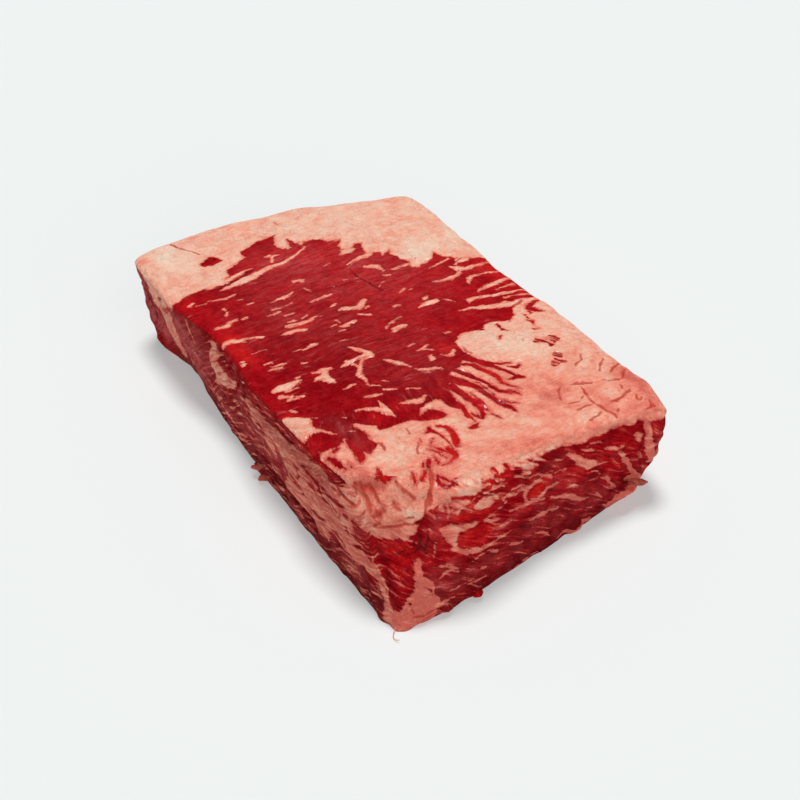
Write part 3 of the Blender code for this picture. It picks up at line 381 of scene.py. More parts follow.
NEAR_TONES = (
    (-50, 64, 3, 5, 0.6), (-50, 58.5, 8, 2.5, 0.5), (-38, 54, 8, 3, 0.35), (-48, 46, 8, 4, 0.35),
    (-42, 36, 8, 4, 0.45), (-1, 47.5, 6, 3.5, 1), (7, 51, 3, 3, 0.8), (-18, 56, 3, 2, 0.5), (-3, 64.5, 4, 1.5, 0.7),
    (-36, 72, 5, 2, 0.7), (-86, 44, 6, 5, 0.5), (-60, 65, 5, 5, 0.35), (-56, 71.5, 4, 1.5, 0.6),
    (30, 45, 14, 4, 0.25), (55, 30, 10, 6, 0.3), (-20, 63, 12, 6, -0.25), (8, 62, 12, 5, -0.3),
    (20, 62, 6, 3, -0.5), (-20, 49, 10, 5, -0.35), (40, 36, 8, 4, -0.45), (5, 60, 8, 3, -0.45),
    (-50, 42, 10, 5, 0.3), (-20, 20, 12, 4, 0.3), (-95, 36, 3, 14, -0.6), (-76, 49, 4, 8, -0.5),
    (-66, 58, 4, 14, 0.3), (-66, 47, 4, 6, -0.2), (25, 53, 6, 3, -0.5), (46, 34, 6, 6, -0.5),
    (45, 56, 20, 5, -0.25), (-40, 18, 50, 9, -0.4), (10, 34, 30, 8, -0.35), (30, 15, 50, 12, -0.35),
    (90, 45, 10, 14, -0.2),
)

# Where the fat is creamier or redder than usual, in the same form
TOP_WARMTH = (
    (116, 93, 16, 7, -0.35), (143, 8, 3, 12, -0.3), (122, 46, 4, 8, -0.15), (-142, -83, 18, 12, 0.75),
    (-70, 66, 14, 15, 0.6), (-80, 95, 12, 6, 0.5), (-130, 30, 40, 50, 0.2), (48, 45, 20, 16, 0.35),
    (60, 60, 22, 12, 0.15), (118, 91, 13, 6, -0.6), (104, 97, 8, 5, -0.3), (140, 84, 10, 12, -0.45),
    (75, 70, 30, 14, -0.05), (115, -25, 14, 12, 0.25), (108, 40, 16, 14, -0.3), (140, -10, 14, 20, -0.2),
    (122, -66, 16, 10, 0.15), (145, -60, 12, 8, -0.4), (-100, -62, 8, 16, 0.2), (-148, -97, 6, 5, -0.5),
    (130, -95, 20, 6, -0.3), (85, 26, 18, 4, -0.45), (80, 18, 14, 3, -0.2), (68, -93, 12, 6, -0.05),
    (-150, 23, 30, 4, -0.15), (122, 63, 14, 4, -0.4), (138, 66, 6, 5, -0.45), (98, 75, 14, 14, 0.25),
    (125, 72, 10, 6, 0.15), (103, 50, 5, 5, -0.35), (112, 42, 6, 5, -0.3), (118, 26, 6, 8, -0.3),
    (143, 5, 4, 16, -0.4), (144, 40, 3, 16, -0.3), (156, -40, 6, 12, 0.25), (146, 87, 5, 5, -0.6),
    (126, 12, 8, 8, 0.3), (132, 44, 8, 6, 0.2), (128, -10, 12, 8, 0.25), (136, -56, 9, 6, -0.45),
    (133, -46, 8, 6, -0.3), (120, -56, 20, 4, 0.2), (112, -64, 12, 4, 0.25), (118, -76, 8, 8, 0.3),
    (150, -80, 6, 8, -0.05), (148, -92, 12, 5, -0.35), (128, -92, 10, 4, -0.4),
)
LEFT_WARMTH = (
    (-150, 62, 30, 8, 0.5), (-120, 50, 20, 18, 0.25), (145, 68, 16, 14, 0.35), (90, 54, 40, 5, -0.1),
    (75, 28, 26, 14, -0.05), (16, 44, 8, 5, 0.25), (125, 30, 20, 14, -0.25), (150, 8, 14, 10, 0.05),
)
NEAR_WARMTH = (
    (-78, 69, 6, 8, 0.3), (-94, 66, 8, 12, -0.25), (-88, 56, 8, 4, -0.15), (-50, 75, 14, 4, 0.25),
    (-63, 74, 5, 4, -0.25), (-72, 58, 4, 14, -0.4), (0, 72, 30, 5, 0.1), (50, 64, 30, 5, -0.25),
    (-50, 53, 8, 5, 0.1), (-82, 12, 14, 16, -0.6), (-79, 33, 4, 6, -0.35), (84, 38, 8, 16, -0.05),
    (66, 8, 12, 12, -0.35), (30, 4, 20, 4, -0.35), (-5, 2, 12, 3, -0.45), (-64, 65, 5, 7, -0.55),
    (40, 46, 8, 5, 0.15), (-40, 61, 6, 4, 0.25), (72, 8, 20, 16, -0.2),
)

# Where thin fat veils the lean of the walls, where a painted sheen lies on the lean of the top, and below zero
# where the wall has no film, in the same form
TOP_PAINTED_SHEEN = (
    (-60, 20, 50, 50, 0.34), (-100, -20, 20, 25, 0.42), (40, -10, 40, 30, 0.2), (88, -80, 20, 6, 0.3),
    (-40, -50, 50, 30, 0.22),
)
LEFT_HAZE = (
    (-22, 60, 16, 8, -1), (-135, 10, 20, 10, -1.2), (20, 64, 30, 5, -0.5), (98, 74, 14, 6, -0.8),
    (150, 38, 10, 14, -0.9), (-70, 35, 40, 20, 0.35), (-100, 45, 25, 15, 0.4), (30, 35, 30, 14, 0.35),
    (-10, 20, 40, 8, 0.3), (-144, 51, 8, 6, 1), (-133, 31, 5, 3, 1), (-115, 50, 12, 8, 0.6),
    (-90, 40, 14, 14, 0.45), (25, 38, 18, 8, 0.5), (60, 40, 20, 10, 0.4), (0, 30, 14, 4, 0.6),
    (-40, 22, 20, 5, 0.5), (62, 6, 8, 4, 1.2), (120, 12, 16, 4, 0.6), (-120, 30, 16, 14, 0.8),
    (-85, 30, 16, 16, 0.5), (-150, 30, 14, 14, 0.6), (-60, 40, 16, 12, 0.4),
)
NEAR_HAZE = (
    (-62, 62, 5, 10, 0.45), (-68, 58, 4, 12, 0.45), (-54, 63, 4, 3, 0.5), (-36, 68.5, 10, 1.5, 0.5),
    (5, 57, 20, 5, 0.35), (15, 45, 14, 4, 0.4), (10, 42, 25, 5, 0.35), (-20, 38, 8, 4, 0.5), (45, 48, 14, 6, 0.4),
    (88, 46, 8, 14, 0.5), (-20, 20, 45, 8, 0.35), (45, 20, 30, 10, 0.25), (-63, 31, 5, 4, 1.3),
    (-24, 38, 6, 3, 1.3), (-59, 46, 3, 6, 0.9), (-87, 36, 3, 1.5, 1.2), (-64, 66, 4, 8, 0.5), (-68, 58, 3, 10, 0.8),
    (-67, 74, 3, 4, 0.8), (-74, 28, 4, 5, 0.9), (-66, 18, 12, 5, 0.9), (0, 28, 14, 3, 0.8), (48, 17, 4, 5, 0.8),
    (13, 56, 6, 5, 0.6), (62, 44, 14, 14, -0.6), (-45, 42, 12, 6, -1), (-90, 38, 8, 12, -1), (-75, 46, 4, 8, 0.3),
)

# Loose slivers of the cut edge: where each is rooted, where it points, its length, width and thickness, how far
# it bends, and how deep in fat and how warm it is
SLIVERS = (
    ((14, -98, 6.5), (-0.45, -0.85, -0.10), 9, 7.0, 1.5, 0.8, 0.8, -1.0),
    ((20, -98, 4), (-0.05, -0.90, -0.30), 8, 8.0, 1.5, 0.6, 0.8, -1.0),
    ((167, -71, 5), (0.45, 0.80, -0.40), 9, 4.5, 1.2, 0.6, 1.0, -0.8),
    ((164, -46, 5), (0.88, 0.10, -0.25), 8, 9.0, 3.5, 0.2, -4.0, 0.0),
    ((147, 76, 15), (0.30, 0.92, -0.10), 11, 6.5, 1.8, -0.6, 2.0, -0.5),
)
THREAD = ((164, -95, 3), (166.5, -98, 1.2), (168.5, -99.5, 0.7), (171, -99.8, 0.9), (173, -98.5, 1.6))

# Where the top is lumpier than elsewhere, in the form of the tones
LUMPY_CORNERS = ((115, 88, 34, 26, 1.0), (140, -60, 30, 26, 0.6), (152, -88, 26, 20, 1.0))

Face = collections.namedtuple("Face", "lean fat_patches fat_strokes lean_strokes creases tones warmths hazes")
TOP_FACE = Face(TOP_LEAN, TOP_FAT_PATCHES, SEAMS + FAR_FLECKS + NEAR_FLECKS, FINGERS + RIGHT_LEAN,
                TOP_CREASES, TOP_TONES, TOP_WARMTH, TOP_PAINTED_SHEEN)
LEFT_FACE = Face(None, LEFT_FAT_PATCHES, LEFT_FAT_STROKES, LEFT_LEAN_STROKES,
                 LEFT_CREASES, LEFT_TONES, LEFT_WARMTH, LEFT_HAZE)
NEAR_FACE = Face(None, NEAR_FAT_PATCHES, NEAR_FAT_STROKES, NEAR_LEAN_STROKES,
                 NEAR_CREASES, NEAR_TONES, NEAR_WARMTH, NEAR_HAZE)

# What the material reads from the skin: its drawn fields, and the coordinates that its fibres run along
FIELD_NAMES = ("fat", "tone", "warmth", "marble", "crease", "wall", "shade", "turn", "film", "haze", "gloss")
GRAIN_NAMES = ("grain_top", "grain_fan", "grain_wall")

# How far outside every drawn shape a place counts as, in millimetres, and how large the skin may get
DEEP = 8.0
MOST_TRIANGLES = 199000

# Whole numbers that scatter the values of the noise
NOISE_SEED_STEP = 7919
NOISE_SEED_START = 104729
NOISE_PRIMES = (73856093, 19349663, 83492791)
NOISE_FACTOR = 1274126177
NOISE_RANGE = 0xFFFFFF

# How the shader nodes are set out
NODES_PER_COLUMN = 8
NODE_WIDTH = 200.0
NODE_HEIGHT = 180.0


def smooth_step(low, high, value):
    """Rises smoothly from 0 at low to 1 at high."""
    part = np.clip((value - low) / (high - low), 0.0, 1.0)
    return part * part * (3.0 - 2.0 * part)


def value_noise(spots, size, seed):
    """Smooth noise from 0 to 1 at each spot, in cells of the given size."""
    cells = np.asarray(spots, dtype=float) / np.asarray(size, dtype=float)
    corner = np.floor(cells)
    part = cells - corner
    part = part * part * (3.0 - 2.0 * part)
    corner = corner.astype(np.int64)
    total = np.zeros(len(cells))
    for step in itertools.product((0, 1), repeat=cells.shape[1]):
        key = np.full(len(cells), seed * NOISE_SEED_STEP + NOISE_SEED_START, dtype=np.int64)
        weight = np.ones(len(cells))
        for axis, prime in zip(range(cells.shape[1]), NOISE_PRIMES):
            key ^= (corner[:, axis] + step[axis]) * prime
            weight *= part[:, axis] if step[axis] else 1.0 - part[:, axis]
        key = (key ^ (key >> 13)) * NOISE_FACTOR
        key = (key ^ (key >> 16)) & NOISE_RANGE
        total += weight * key / NOISE_RANGE
    return total


def patch_distance(spots, outline):
    """How far inside the closed outline each spot lies, negative outside it."""
    corners = np.asarray(outline, dtype=float)
    nearest = np.full(len(spots), np.inf)
    inside = np.zeros(len(spots), dtype=bool)
    for start, end in zip(corners, np.roll(corners, -1, axis=0)):
        reach = end - start
        away = spots - start
        share = np.clip(away @ reach / (reach @ reach), 0.0, 1.0)
        nearest = np.minimum(nearest, ((away - share[:, None] * reach) ** 2).sum(axis=1))
        if start[1] != end[1]:
            crossed = (start[1] > spots[:, 1]) != (end[1] > spots[:, 1])
            inside ^= crossed & (away[:, 0] < away[:, 1] * reach[0] / reach[1])
    return np.where(inside, 1.0, -1.0) * np.sqrt(nearest)


def stroke_distance(spots, strokes):
    """How far inside the nearest stroke each spot lies, negative outside them all."""
    result = np.full(len(spots), -DEEP)
    for stroke in strokes:
        points = np.asarray(stroke, dtype=float)
        margin = DEEP + points[:, 2].max()
        low = points[:, :2].min(axis=0) - margin
        high = points[:, :2].max(axis=0) + margin
        near = np.flatnonzero(((spots > low) & (spots < high)).all(axis=1))
        for start, end in zip(points[:-1], points[1:]):
            reach = end[:2] - start[:2]
            away = spots[near] - start[:2]
            share = np.clip(away @ reach / max(reach @ reach, 1e-6), 0.0, 1.0)
            width = start[2] + share * (end[2] - start[2])
            inside = width - np.sqrt(((away - share[:, None] * reach) ** 2).sum(axis=1))
            result[near] = np.maximum(result[near], inside)
    return result


def blobs(spots, rows):
    """Adds up soft round spots, each given as its middle, its two radii and its amount."""
    total = np.zeros(len(spots))
    for first, second, first_radius, second_radius, amount in rows:
        away = ((spots[:, 0] - first) / first_radius) ** 2 + ((spots[:, 1] - second) / second_radius) ** 2
        total += amount * np.exp(-away)
    return total


def wobble(spots, seed, reach):
    """Moves each spot a little, which gives the drawn outlines the ragged edge of cut meat."""
    moved = np.array(spots, dtype=float)
    for axis in (0, 1):
        moved[:, axis] += reach * (2.0 * value_noise(spots, 4.5, seed + axis) - 1.0)
        moved[:, axis] += 0.5 * reach * (2.0 * value_noise(spots, 1.7, seed + axis + 10) - 1.0)
    return moved


def read_face(spots, face, seed, reach=0.6):
    """Reads one face's drawn shapes: the depth in the fat and in a crease, the tone, the warmth, and the pale veil,
    which is thin fat on the walls and a painted sheen on the top.
    """
    moved = wobble(spots, seed, reach)
    if face.lean is None:
        fat = np.full(len(spots), -DEEP)
    else:
        fat = -patch_distance(moved, face.lean)
    for patch in face.fat_patches:
        fat = np.maximum(fat, patch_distance(moved, patch))
    fat = np.maximum(fat, stroke_distance(moved, face.fat_strokes))
    fat = np.minimum(fat, -stroke_distance(moved, face.lean_strokes))
    if face.lean is not None:
        fat = np.minimum(fat, -patch_distance(moved, LEAN_ISLAND))
    crease = stroke_distance(moved, face.creases)
    crease -= 1.6 * np.maximum(value_noise(spots, 3.2, seed + 31) - 0.5, 0.0)
    return fat, crease, blobs(spots, face.tones), blobs(spots, face.warmths), blobs(spots, face.hazes)


def face_weights(places, facing):
    """How much each face of the block counts where the skin lies and faces a given way."""
    x, y = places[:, 0], places[:, 1]
    rim = x - np.interp(y, (-62.0, -20.0, 20.0, 100.0), (158.5, 153.5, 147.5, 146.5))
    over = smooth_step(-5.0, -1.5, rim) * smooth_step(-66.0, -58.0, y) * (facing[:, 2] > -0.5)
    top = smooth_step(0.31, 0.45, facing[:, 2]) * (1.0 - over)
    under = smooth_step(0.55, 0.85, -facing[:, 2])
    side = np.clip(1.0 - top - under, 0.0, 1.0)
    flat = facing[:, :2] / np.maximum(np.linalg.norm(facing[:, :2], axis=1), 1e-6)[:, None]
    near = np.maximum(smooth_step(0.42, 0.58, flat[:, 0]), over)
    far = smooth_step(0.50, 0.75, -flat[:, 0])
    rest = np.clip(1.0 - near - far, 0.0, 1.0)
    left = rest * (flat[:, 1] < 0.0)
    right = rest * (flat[:, 1] >= 0.0)
    return {"top": top, "under": under, "near": side * near, "far": side * far,
            "left": side * left, "right": side * right}


def drawn_fields(places, weights):
    """Adds up what the shapes drawn on each face give at each place, and scatters patches over the underside."""
    x, y, z = places.T
    maps = {
        "top": (np.column_stack((x, y)), TOP_FACE, 100, 0.6),
        "left": (np.column_stack((x, z)), LEFT_FACE, 200, 0.6),
        "near": (np.column_stack((y, z)), NEAR_FACE, 300, 0.6),
        "right": (np.column_stack((-x, z)), LEFT_FACE, 400, 1.6),
        "far": (np.column_stack((-y, z)), NEAR_FACE, 500, 1.6),
    }
    total = np.zeros((5, len(places)))
    for name, (spots, face, seed, reach) in maps.items():
        shown = np.flatnonzero(weights[name] > 0.001)
        read = np.array(read_face(spots[shown], face, seed, reach))
        read[0] = np.clip(read[0], -4.0, 4.0)
        total[:, shown] += weights[name][shown] * read
    patches = 14.0 * (value_noise(places[:, :2], 28.0, 61) - 0.5)
    patches += 5.0 * (value_noise(places[:, :2], 9.0, 62) - 0.5)
    total[0] += weights["under"] * (patches - 1.0)
    total[1] -= weights["under"] * DEEP
    return total


def bruised(places):
    """How far each place lies in one of the bruised patches of the top."""
    spots = np.column_stack((places[:, 0], places[:, 1]))
    bruise = np.full(len(places), -DEEP)
    for patch in BRUISES:
        bruise = np.maximum(bruise, patch_distance(wobble(spots, 700, 1.2), patch))
    return smooth_step(-1.2, 1.4, bruise)


def skin_fields(places, facing):
    """Works out the named fields of the skin at each place, in millimetres, from the shapes drawn on its faces."""
    x, y, z = places.T
    weights = face_weights(places, facing)
    top, under, near, far, left, right = (
        weights[name] for name in ("top", "under", "near", "far", "left", "right"))
    wall = left + right + near + far
    tilted = z - 0.1 * y
    far_left = left * smooth_step(-45.0, -80.0, x)
    fat, crease, tone, warmth, haze = drawn_fields(places, weights)

    bruise = bruised(places) * top
    fat = fat * (1.0 - bruise) - 0.1 * bruise
    marble = 0.9 * (left + right + under) + 0.8 * (near + far)
    marble *= 1.0 - (0.5 - 0.3 * left) * smooth_step(0.4, 3.0, fat)
    marble *= 1.0 - 0.75 * far_left
    marble += top * (0.30 * smooth_step(2.0, 0.0, fat) + 0.06)
    marble = np.maximum(marble, 0.9 * bruise)

    warmth = warmth - 0.30 * top * smooth_step(60.0, 105.0, x)
    warmth -= 0.35 * near * smooth_step(67.0, 58.0, z)
    warmth -= 0.6 * near * smooth_step(36.0, 22.0, tilted) * smooth_step(-74.0, -62.0, y)
    warmth -= left * (0.14 + 0.22 * smooth_step(0.0, 60.0, x) * smooth_step(70.0, 60.0, z))
    tone = tone + 0.22 * (near + far) * smooth_step(25.0, 45.0, z)
    shade = left * smooth_step(22.0, 6.0, z) + 0.6 * near * smooth_step(14.0, 3.0, z)

    # The pale veil is thin fat on the walls and a painted sheen on the top: weaker on the near end, stronger at the
    # far end of the left wall
    haze = haze * (1.0 - 0.65 * near * (haze > 0.0)) + 0.45 * far_left
    film = left + right + under
    film += 0.35 * (near + far) * smooth_step(38.0, 26.0, tilted)
    film = np.clip(film + np.minimum(haze, 0.0), 0.0, 1.0)
    gloss = 1.0 - 0.7 * wall

    turn = smooth_step(56.0, 72.0, x + 0.35 * np.maximum(y + 5.0, 0.0)) * smooth_step(122.0, 100.0, x)
    turn = np.maximum(turn, smooth_step(80.0, 100.0, x) * smooth_step(-25.0, -45.0, y))
    return {"fat": fat, "tone": tone, "warmth": warmth, "marble": marble, "crease": crease,
            "wall": wall, "shade": shade, "turn": turn, "film": film, "haze": np.maximum(haze, 0.0),
            "gloss": gloss, "weights": weights}


def read_points(mesh, name="position", size=3):
    """Reads a point attribute of the mesh as an array."""
    values = np.empty(len(mesh.vertices) * size)
    kind = "vector" if size == 3 else "value"
    mesh.attributes[name].data.foreach_get(kind, values)
    return values.reshape(-1, size) if size > 1 else values


def write_points(mesh, name, values):
    """Stores an array as a point attribute of the mesh."""
    kind = "FLOAT_VECTOR" if values.ndim == 2 else "FLOAT"
    if name in mesh.attributes:
        mesh.attributes.remove(mesh.attributes[name])
    layer = mesh.attributes.new(name, kind, "POINT")
    layer.data.foreach_set("vector" if values.ndim == 2 else "value", np.ascontiguousarray(values).ravel())


def edge_ends(mesh):
    """The two vertex numbers of every edge."""
    ends = np.empty(len(mesh.edges) * 2, dtype=np.int32)
    mesh.edges.foreach_get("vertices", ends)
    return ends.reshape(-1, 2)


def neighbour_mean(values, ends):
    """Averages each vertex's values with those of its neighbours."""
    count = np.bincount(ends.ravel(), minlength=len(values)).astype(float)
    mixed = np.empty_like(values)
    for axis in range(values.shape[1]):
        total = np.bincount(ends[:, 0], values[ends[:, 1], axis], len(values))
        total += np.bincount(ends[:, 1], values[ends[:, 0], axis], len(values))
        mixed[:, axis] = 0.5 * values[:, axis] + 0.5 * total / np.maximum(count, 1.0)
    return mixed


def vertex_normals(mesh):
    """The outward direction of every vertex."""
    values = np.empty(len(mesh.vertices) * 3)
    mesh.vertex_normals.foreach_get("vector", values)
    return values.reshape(-1, 3)


def alone(obj):
    """Leaves the object as the only one selected, and active."""
    bpy.ops.object.select_all(action="DESELECT")
    obj.select_set(True)
    bpy.context.view_layer.objects.active = obj


def in_edit_mode(obj, *steps):
    """Runs the steps on all of the object's mesh in edit mode."""
    alone(obj)
    bpy.ops.object.mode_set(mode="EDIT")
    bpy.ops.mesh.select_all(action="SELECT")
    for step in steps:
        step()
    bpy.ops.object.mode_set(mode="OBJECT")


def copy_of_block():
    """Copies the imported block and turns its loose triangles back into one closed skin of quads."""
    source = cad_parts["striploin"]
    block = source.copy()
    block.data = source.data.copy()
    block.parent = None
    block.matrix_world = source.matrix_world.copy()
    bpy.context.scene.collection.objects.link(block)
    block.name = "striploin_skin"
    alone(block)
    bpy.ops.object.transform_apply(location=True, rotation=True, scale=True)
    in_edit_mode(block,
                 lambda: bpy.ops.mesh.remove_doubles(threshold=0.02 * MM),
                 lambda: bpy.ops.mesh.tris_convert_to_quads())
    for name in [layer.name for layer in block.data.attributes if layer.name.startswith("custom_normal")]:
        block.data.attributes.remove(block.data.attributes[name])
    return block


def round_off(block):
    """Rounds the skin with one level of subdivision, and keeps its flat underside sharp."""
    mesh = block.data
    height = read_points(mesh)[:, 2]
    on_base = height < 0.05 * MM
    ends = edge_ends(mesh)
    faces_down = np.zeros(len(mesh.vertices), dtype=bool)
    rim = np.zeros(len(mesh.vertices), dtype=bool)
    for face in mesh.polygons:
        corners = list(face.vertices)
        if not on_base[corners].all():
            rim[corners] = True
        else:
            faces_down[corners] = True
    rim &= faces_down & on_base
    layer = mesh.attributes.new("crease_edge", "FLOAT", "EDGE")
    layer.data.foreach_set("value", (rim[ends].all(axis=1)).astype(float))
    facing = vertex_normals(mesh)
    for _ in range(3):
        facing = neighbour_mean(facing, ends)
    write_points(mesh, "facing", facing)
    rounding = block.modifiers.new("rounding", "SUBSURF")
    rounding.levels = 1
    rounding.render_levels = 1
    alone(block)
    bpy.ops.object.modifier_apply(modifier=rounding.name)
    mesh.attributes.remove(mesh.attributes["crease_edge"])


def wanted_lengths(fields, shape):
    """The longest edge that each place needs, short along the marbling and long where nothing is drawn."""
    weights = fields["weights"]
    edge = np.minimum(np.abs(fields["fat"]), np.abs(fields["crease"]) + 0.3)
    edge = np.minimum(edge, 3.6 - 11.0 * weights["top"] * (1.0 - weights["top"]))
    length = shape.fine_edge + (shape.coarse_edge - shape.fine_edge) * smooth_step(0.4, 3.6, edge)
    length = length * (1.0 - 0.25 * smooth_step(-0.8, -0.3, fields["crease"]))
    hidden = 4.0 * weights["under"] + 3.2 * weights["right"] + 3.2 * weights["far"]
    return length * (1.0 + hidden)


def cut_edges(block, chosen, ends):
    """Cuts the chosen edges in two, and makes triangles of all faces."""
    mesh = block.data
    picked = np.zeros(len(mesh.vertices), dtype=bool)
    picked[ends[chosen].ravel()] = True
    alone(block)
    bpy.ops.object.mode_set(mode="EDIT")
    bpy.ops.mesh.select_mode(type="EDGE")
    bpy.ops.mesh.select_all(action="DESELECT")
    bpy.ops.object.mode_set(mode="OBJECT")
    mesh.vertices.foreach_set("select", picked)
    mesh.edges.foreach_set("select", chosen)
    bpy.ops.object.mode_set(mode="EDIT")
    bpy.ops.mesh.subdivide(number_cuts=1)
    bpy.ops.mesh.select_all(action="SELECT")
    bpy.ops.mesh.quads_convert_to_tris(quad_method="BEAUTY", ngon_method="BEAUTY")
    bpy.ops.object.mode_set(mode="OBJECT")


def refine(block, shape, rounds=6, slack=1.4, fewest=50):
    """Cuts every edge that is longer than the marbling around it needs, until only a few are left."""
    mesh = block.data
    for _ in range(rounds):
        places = read_points(mesh) / MM
        fields = skin_fields(places, read_points(mesh, "facing"))
        wanted = wanted_lengths(fields, shape) / MM
        ends = edge_ends(mesh)
        length = np.linalg.norm(places[ends[:, 0]] - places[ends[:, 1]], axis=1)
        chosen = length > slack * wanted[ends].min(axis=1)
        if chosen.sum() < fewest:
            break
        cut_edges(block, chosen, ends)
    return skin_fields(read_points(mesh) / MM, read_points(mesh, "facing"))


def relief(places, fields, shape):
    """How far each place of the skin stands out, in millimetres, from its fat, creases, lumps and layers."""
    x, y, z = places.T
    sides = fields["wall"]
    fat = smooth_step(-0.6, 3.0, fields["fat"])
    height = shape.fat_rise / MM * fat
    height -= shape.crease_depth / MM * np.clip(fields["crease"] + 0.25, 0.0, 1.8)
    height += 0.9 * fat * (value_noise(places, 11.0, 21) - 0.5)
    height += 0.5 * (value_noise(places, 4.5, 22) - 0.5)
    corner = blobs(np.column_stack((x, y)), LUMPY_CORNERS)
    height += 2.2 * corner * (value_noise(places, 9.0, 23) - 0.5)
    height += 1.2 * corner * (value_noise(places, 3.6, 27) - 0.5)
    around = x + y
    layers = value_noise(np.column_stack((around, z + 3.0 * np.sin(around / 37.0))), (34.0, 4.2), 24) - 0.5
    layers += 0.5 * (value_noise(np.column_stack((around, z)), (16.0, 2.2), 25) - 0.5)
    height += shape.layer_depth / MM * sides * layers
    hem = sides * smooth_step(9.0, 1.0, z)
    height += hem * (2.6 * (value_noise(np.column_stack((around, z)), (7.0, 5.0), 26) - 0.5) + 0.3)
    lip = fields["weights"]["left"] * smooth_step(70.0, 80.0, x) * smooth_step(110.0, 100.0, x)
    under_lip = 1.6 * smooth_step(57.0, 62.0, z) * smooth_step(69.0, 64.0, z)
    height += lip * (2.2 * smooth_step(67.0, 73.0, z) - under_lip)
    return height


def carve(block, fields, shape, base_band=0.3, clearance=0.2):
    """Moves the skin in and out by its relief and keeps the underside flat and all else just above it."""
    mesh = block.data
    places = read_points(mesh) / MM
    height = relief(places, fields, shape) * (1.0 - fields["weights"]["under"])
    push = vertex_normals(mesh) * height[:, None]
    flat = places[:, 2] < base_band
    push[flat, 2] = 0.0
    moved = places + push
    moved[:, 2] = np.maximum(moved[:, 2], np.where(flat, 0.0, clearance))
    mesh.vertices.foreach_set("co", (moved * MM).ravel())
    mesh.update()


def wall_slant(x, y, weights):
    """How far the streaks of the walls have climbed at each place, equal on both sides of every corner."""
    bend = -(20.0 - np.clip(x, -60.0, 20.0)) ** 2 / 160.0
    steep = np.where(x < -60.0, x + 20.0, bend * (x < 20.0))
    left = -0.25 * (x - 165.0) - 0.65 * steep
    near = 0.6 * (y + 100.0)
    right = 0.6 * 200.0 + 0.3 * (x - 165.0)
    far = 99.0 - 0.78 * y
    return weights["left"] * left + weights["near"] * near + weights["right"] * right + weights["far"] * far


def store_finish(mesh, fields, places):
    """Keeps what the material needs to know as attributes of the mesh."""
    for name in FIELD_NAMES:
        write_points(mesh, name, np.asarray(fields[name], dtype=float))
    x, y, z = places.T
    fan = y - 0.8 * np.clip((y + 5.0) / 35.0, 0.0, 1.0) * (x - 60.0)
    fan += 0.45 * np.clip((-y - 25.0) / 30.0, 0.0, 1.0) * (x - 100.0)
    slant = wall_slant(x, y, fields["weights"])
    grains = ((x + 0.12 * y, y, z), (fan, x, z), (z + slant, x + y, np.zeros(len(x))))
    for name, grain in zip(GRAIN_NAMES, grains):
        write_points(mesh, name, np.column_stack(grain) * MM)
    if "facing" in mesh.attributes:
        mesh.attributes.remove(mesh.attributes["facing"])


def add_node(tree, kind, inputs=None, **settings):
    """Adds a shader node with its settings, and fills its inputs with values or with other nodes' outputs."""
    node = tree.nodes.new(kind)
    column, row = divmod(len(tree.nodes), NODES_PER_COLUMN)
    node.location = (NODE_WIDTH * column, -NODE_HEIGHT * row)
    for name, value in settings.items():
        setattr(node, name, value)
    for name, value in (inputs or {}).items():
        if isinstance(value, bpy.types.NodeSocket):
            tree.links.new(value, node.inputs[name])
        else:
            node.inputs[name].default_value = value
    return node


def combine(tree, operation, first, second, limit=False):
    """Does one sum with two values."""
    return add_node(tree, "ShaderNodeMath", {0: first, 1: second}, operation=operation, use_clamp=limit).outputs[0]


def add_up(tree, total, *others):
    """Adds values to each other."""
    for value in others:
        total = combine(tree, "ADD", total, value)
    return total


def times(tree, first, second):
    """Multiplies two values."""
    return combine(tree, "MULTIPLY", first, second)


def spread(tree, value, low, high, start=0.0, end=1.0, smooth=True):
    """Maps low to start and high to end, and keeps to that range."""
    node = add_node(tree, "ShaderNodeMapRange",
                    {"Value": value, "From Min": low, "From Max": high, "To Min": start, "To Max": end},
                    interpolation_type="SMOOTHSTEP" if smooth else "LINEAR")
    return node.outputs["Result"]


def graded(tree, share, start, end):
    """Runs evenly from start to end as the share goes from 0 to 1."""
    return spread(tree, share, 0.0, 1.0, start, end, smooth=False)


def swing(tree, noise, reach):
    """Turns noise, which mostly lies between 0.3 and 0.7, into a change of up to reach either way."""
    return spread(tree, noise, 0.3, 0.7, -reach, reach, smooth=False)


def field(tree, name, output="Fac"):
    """Reads an attribute of the mesh."""
    return add_node(tree, "ShaderNodeAttribute", attribute_name=name).outputs[output]


def vectors(tree, operation, first, second):
    """Does one sum with two vectors."""
    return add_node(tree, "ShaderNodeVectorMath", {0: first, 1: second}, operation=operation).outputs[0]


def speckle(tree, vector, size, detail=2.0, roughness=0.5):
    """Adds noise with cells of the given size in metres."""
    node = add_node(tree, "ShaderNodeTexNoise",
                    {"Vector": vector, "Scale": 1.0 / size, "Detail": detail, "Roughness": roughness})
    return node.outputs["Fac"]


def warp(tree, vector, scale, detail, reach):
    """Shifts coordinates by noise, by up to reach along each axis."""
    noise = add_node(tree, "ShaderNodeTexNoise", {"Vector": vector, "Scale": scale, "Detail": detail})
    return vectors(tree, "ADD", vector, vectors(tree, "MULTIPLY", noise.outputs["Color"], reach))


def ramp(tree, value, stops):
    """Runs from each stop's colour to the next as the value goes from -1 to 1."""
    node = add_node(tree, "ShaderNodeValToRGB", {"Fac": spread(tree, value, -1.0, 1.0, smooth=False)})
    elements = node.color_ramp.elements
    while len(elements) < len(stops):
        elements.new(0.5)
    for element, (position, colour) in zip(elements, stops):
        element.position = position
        element.color = (*colour, 1.0)
    return node.outputs["Color"]


def mixed(tree, share, first, second):
    """Mixes two values."""
    return add_node(tree, "ShaderNodeMix", {0: share, 2: first, 3: second}).outputs[0]


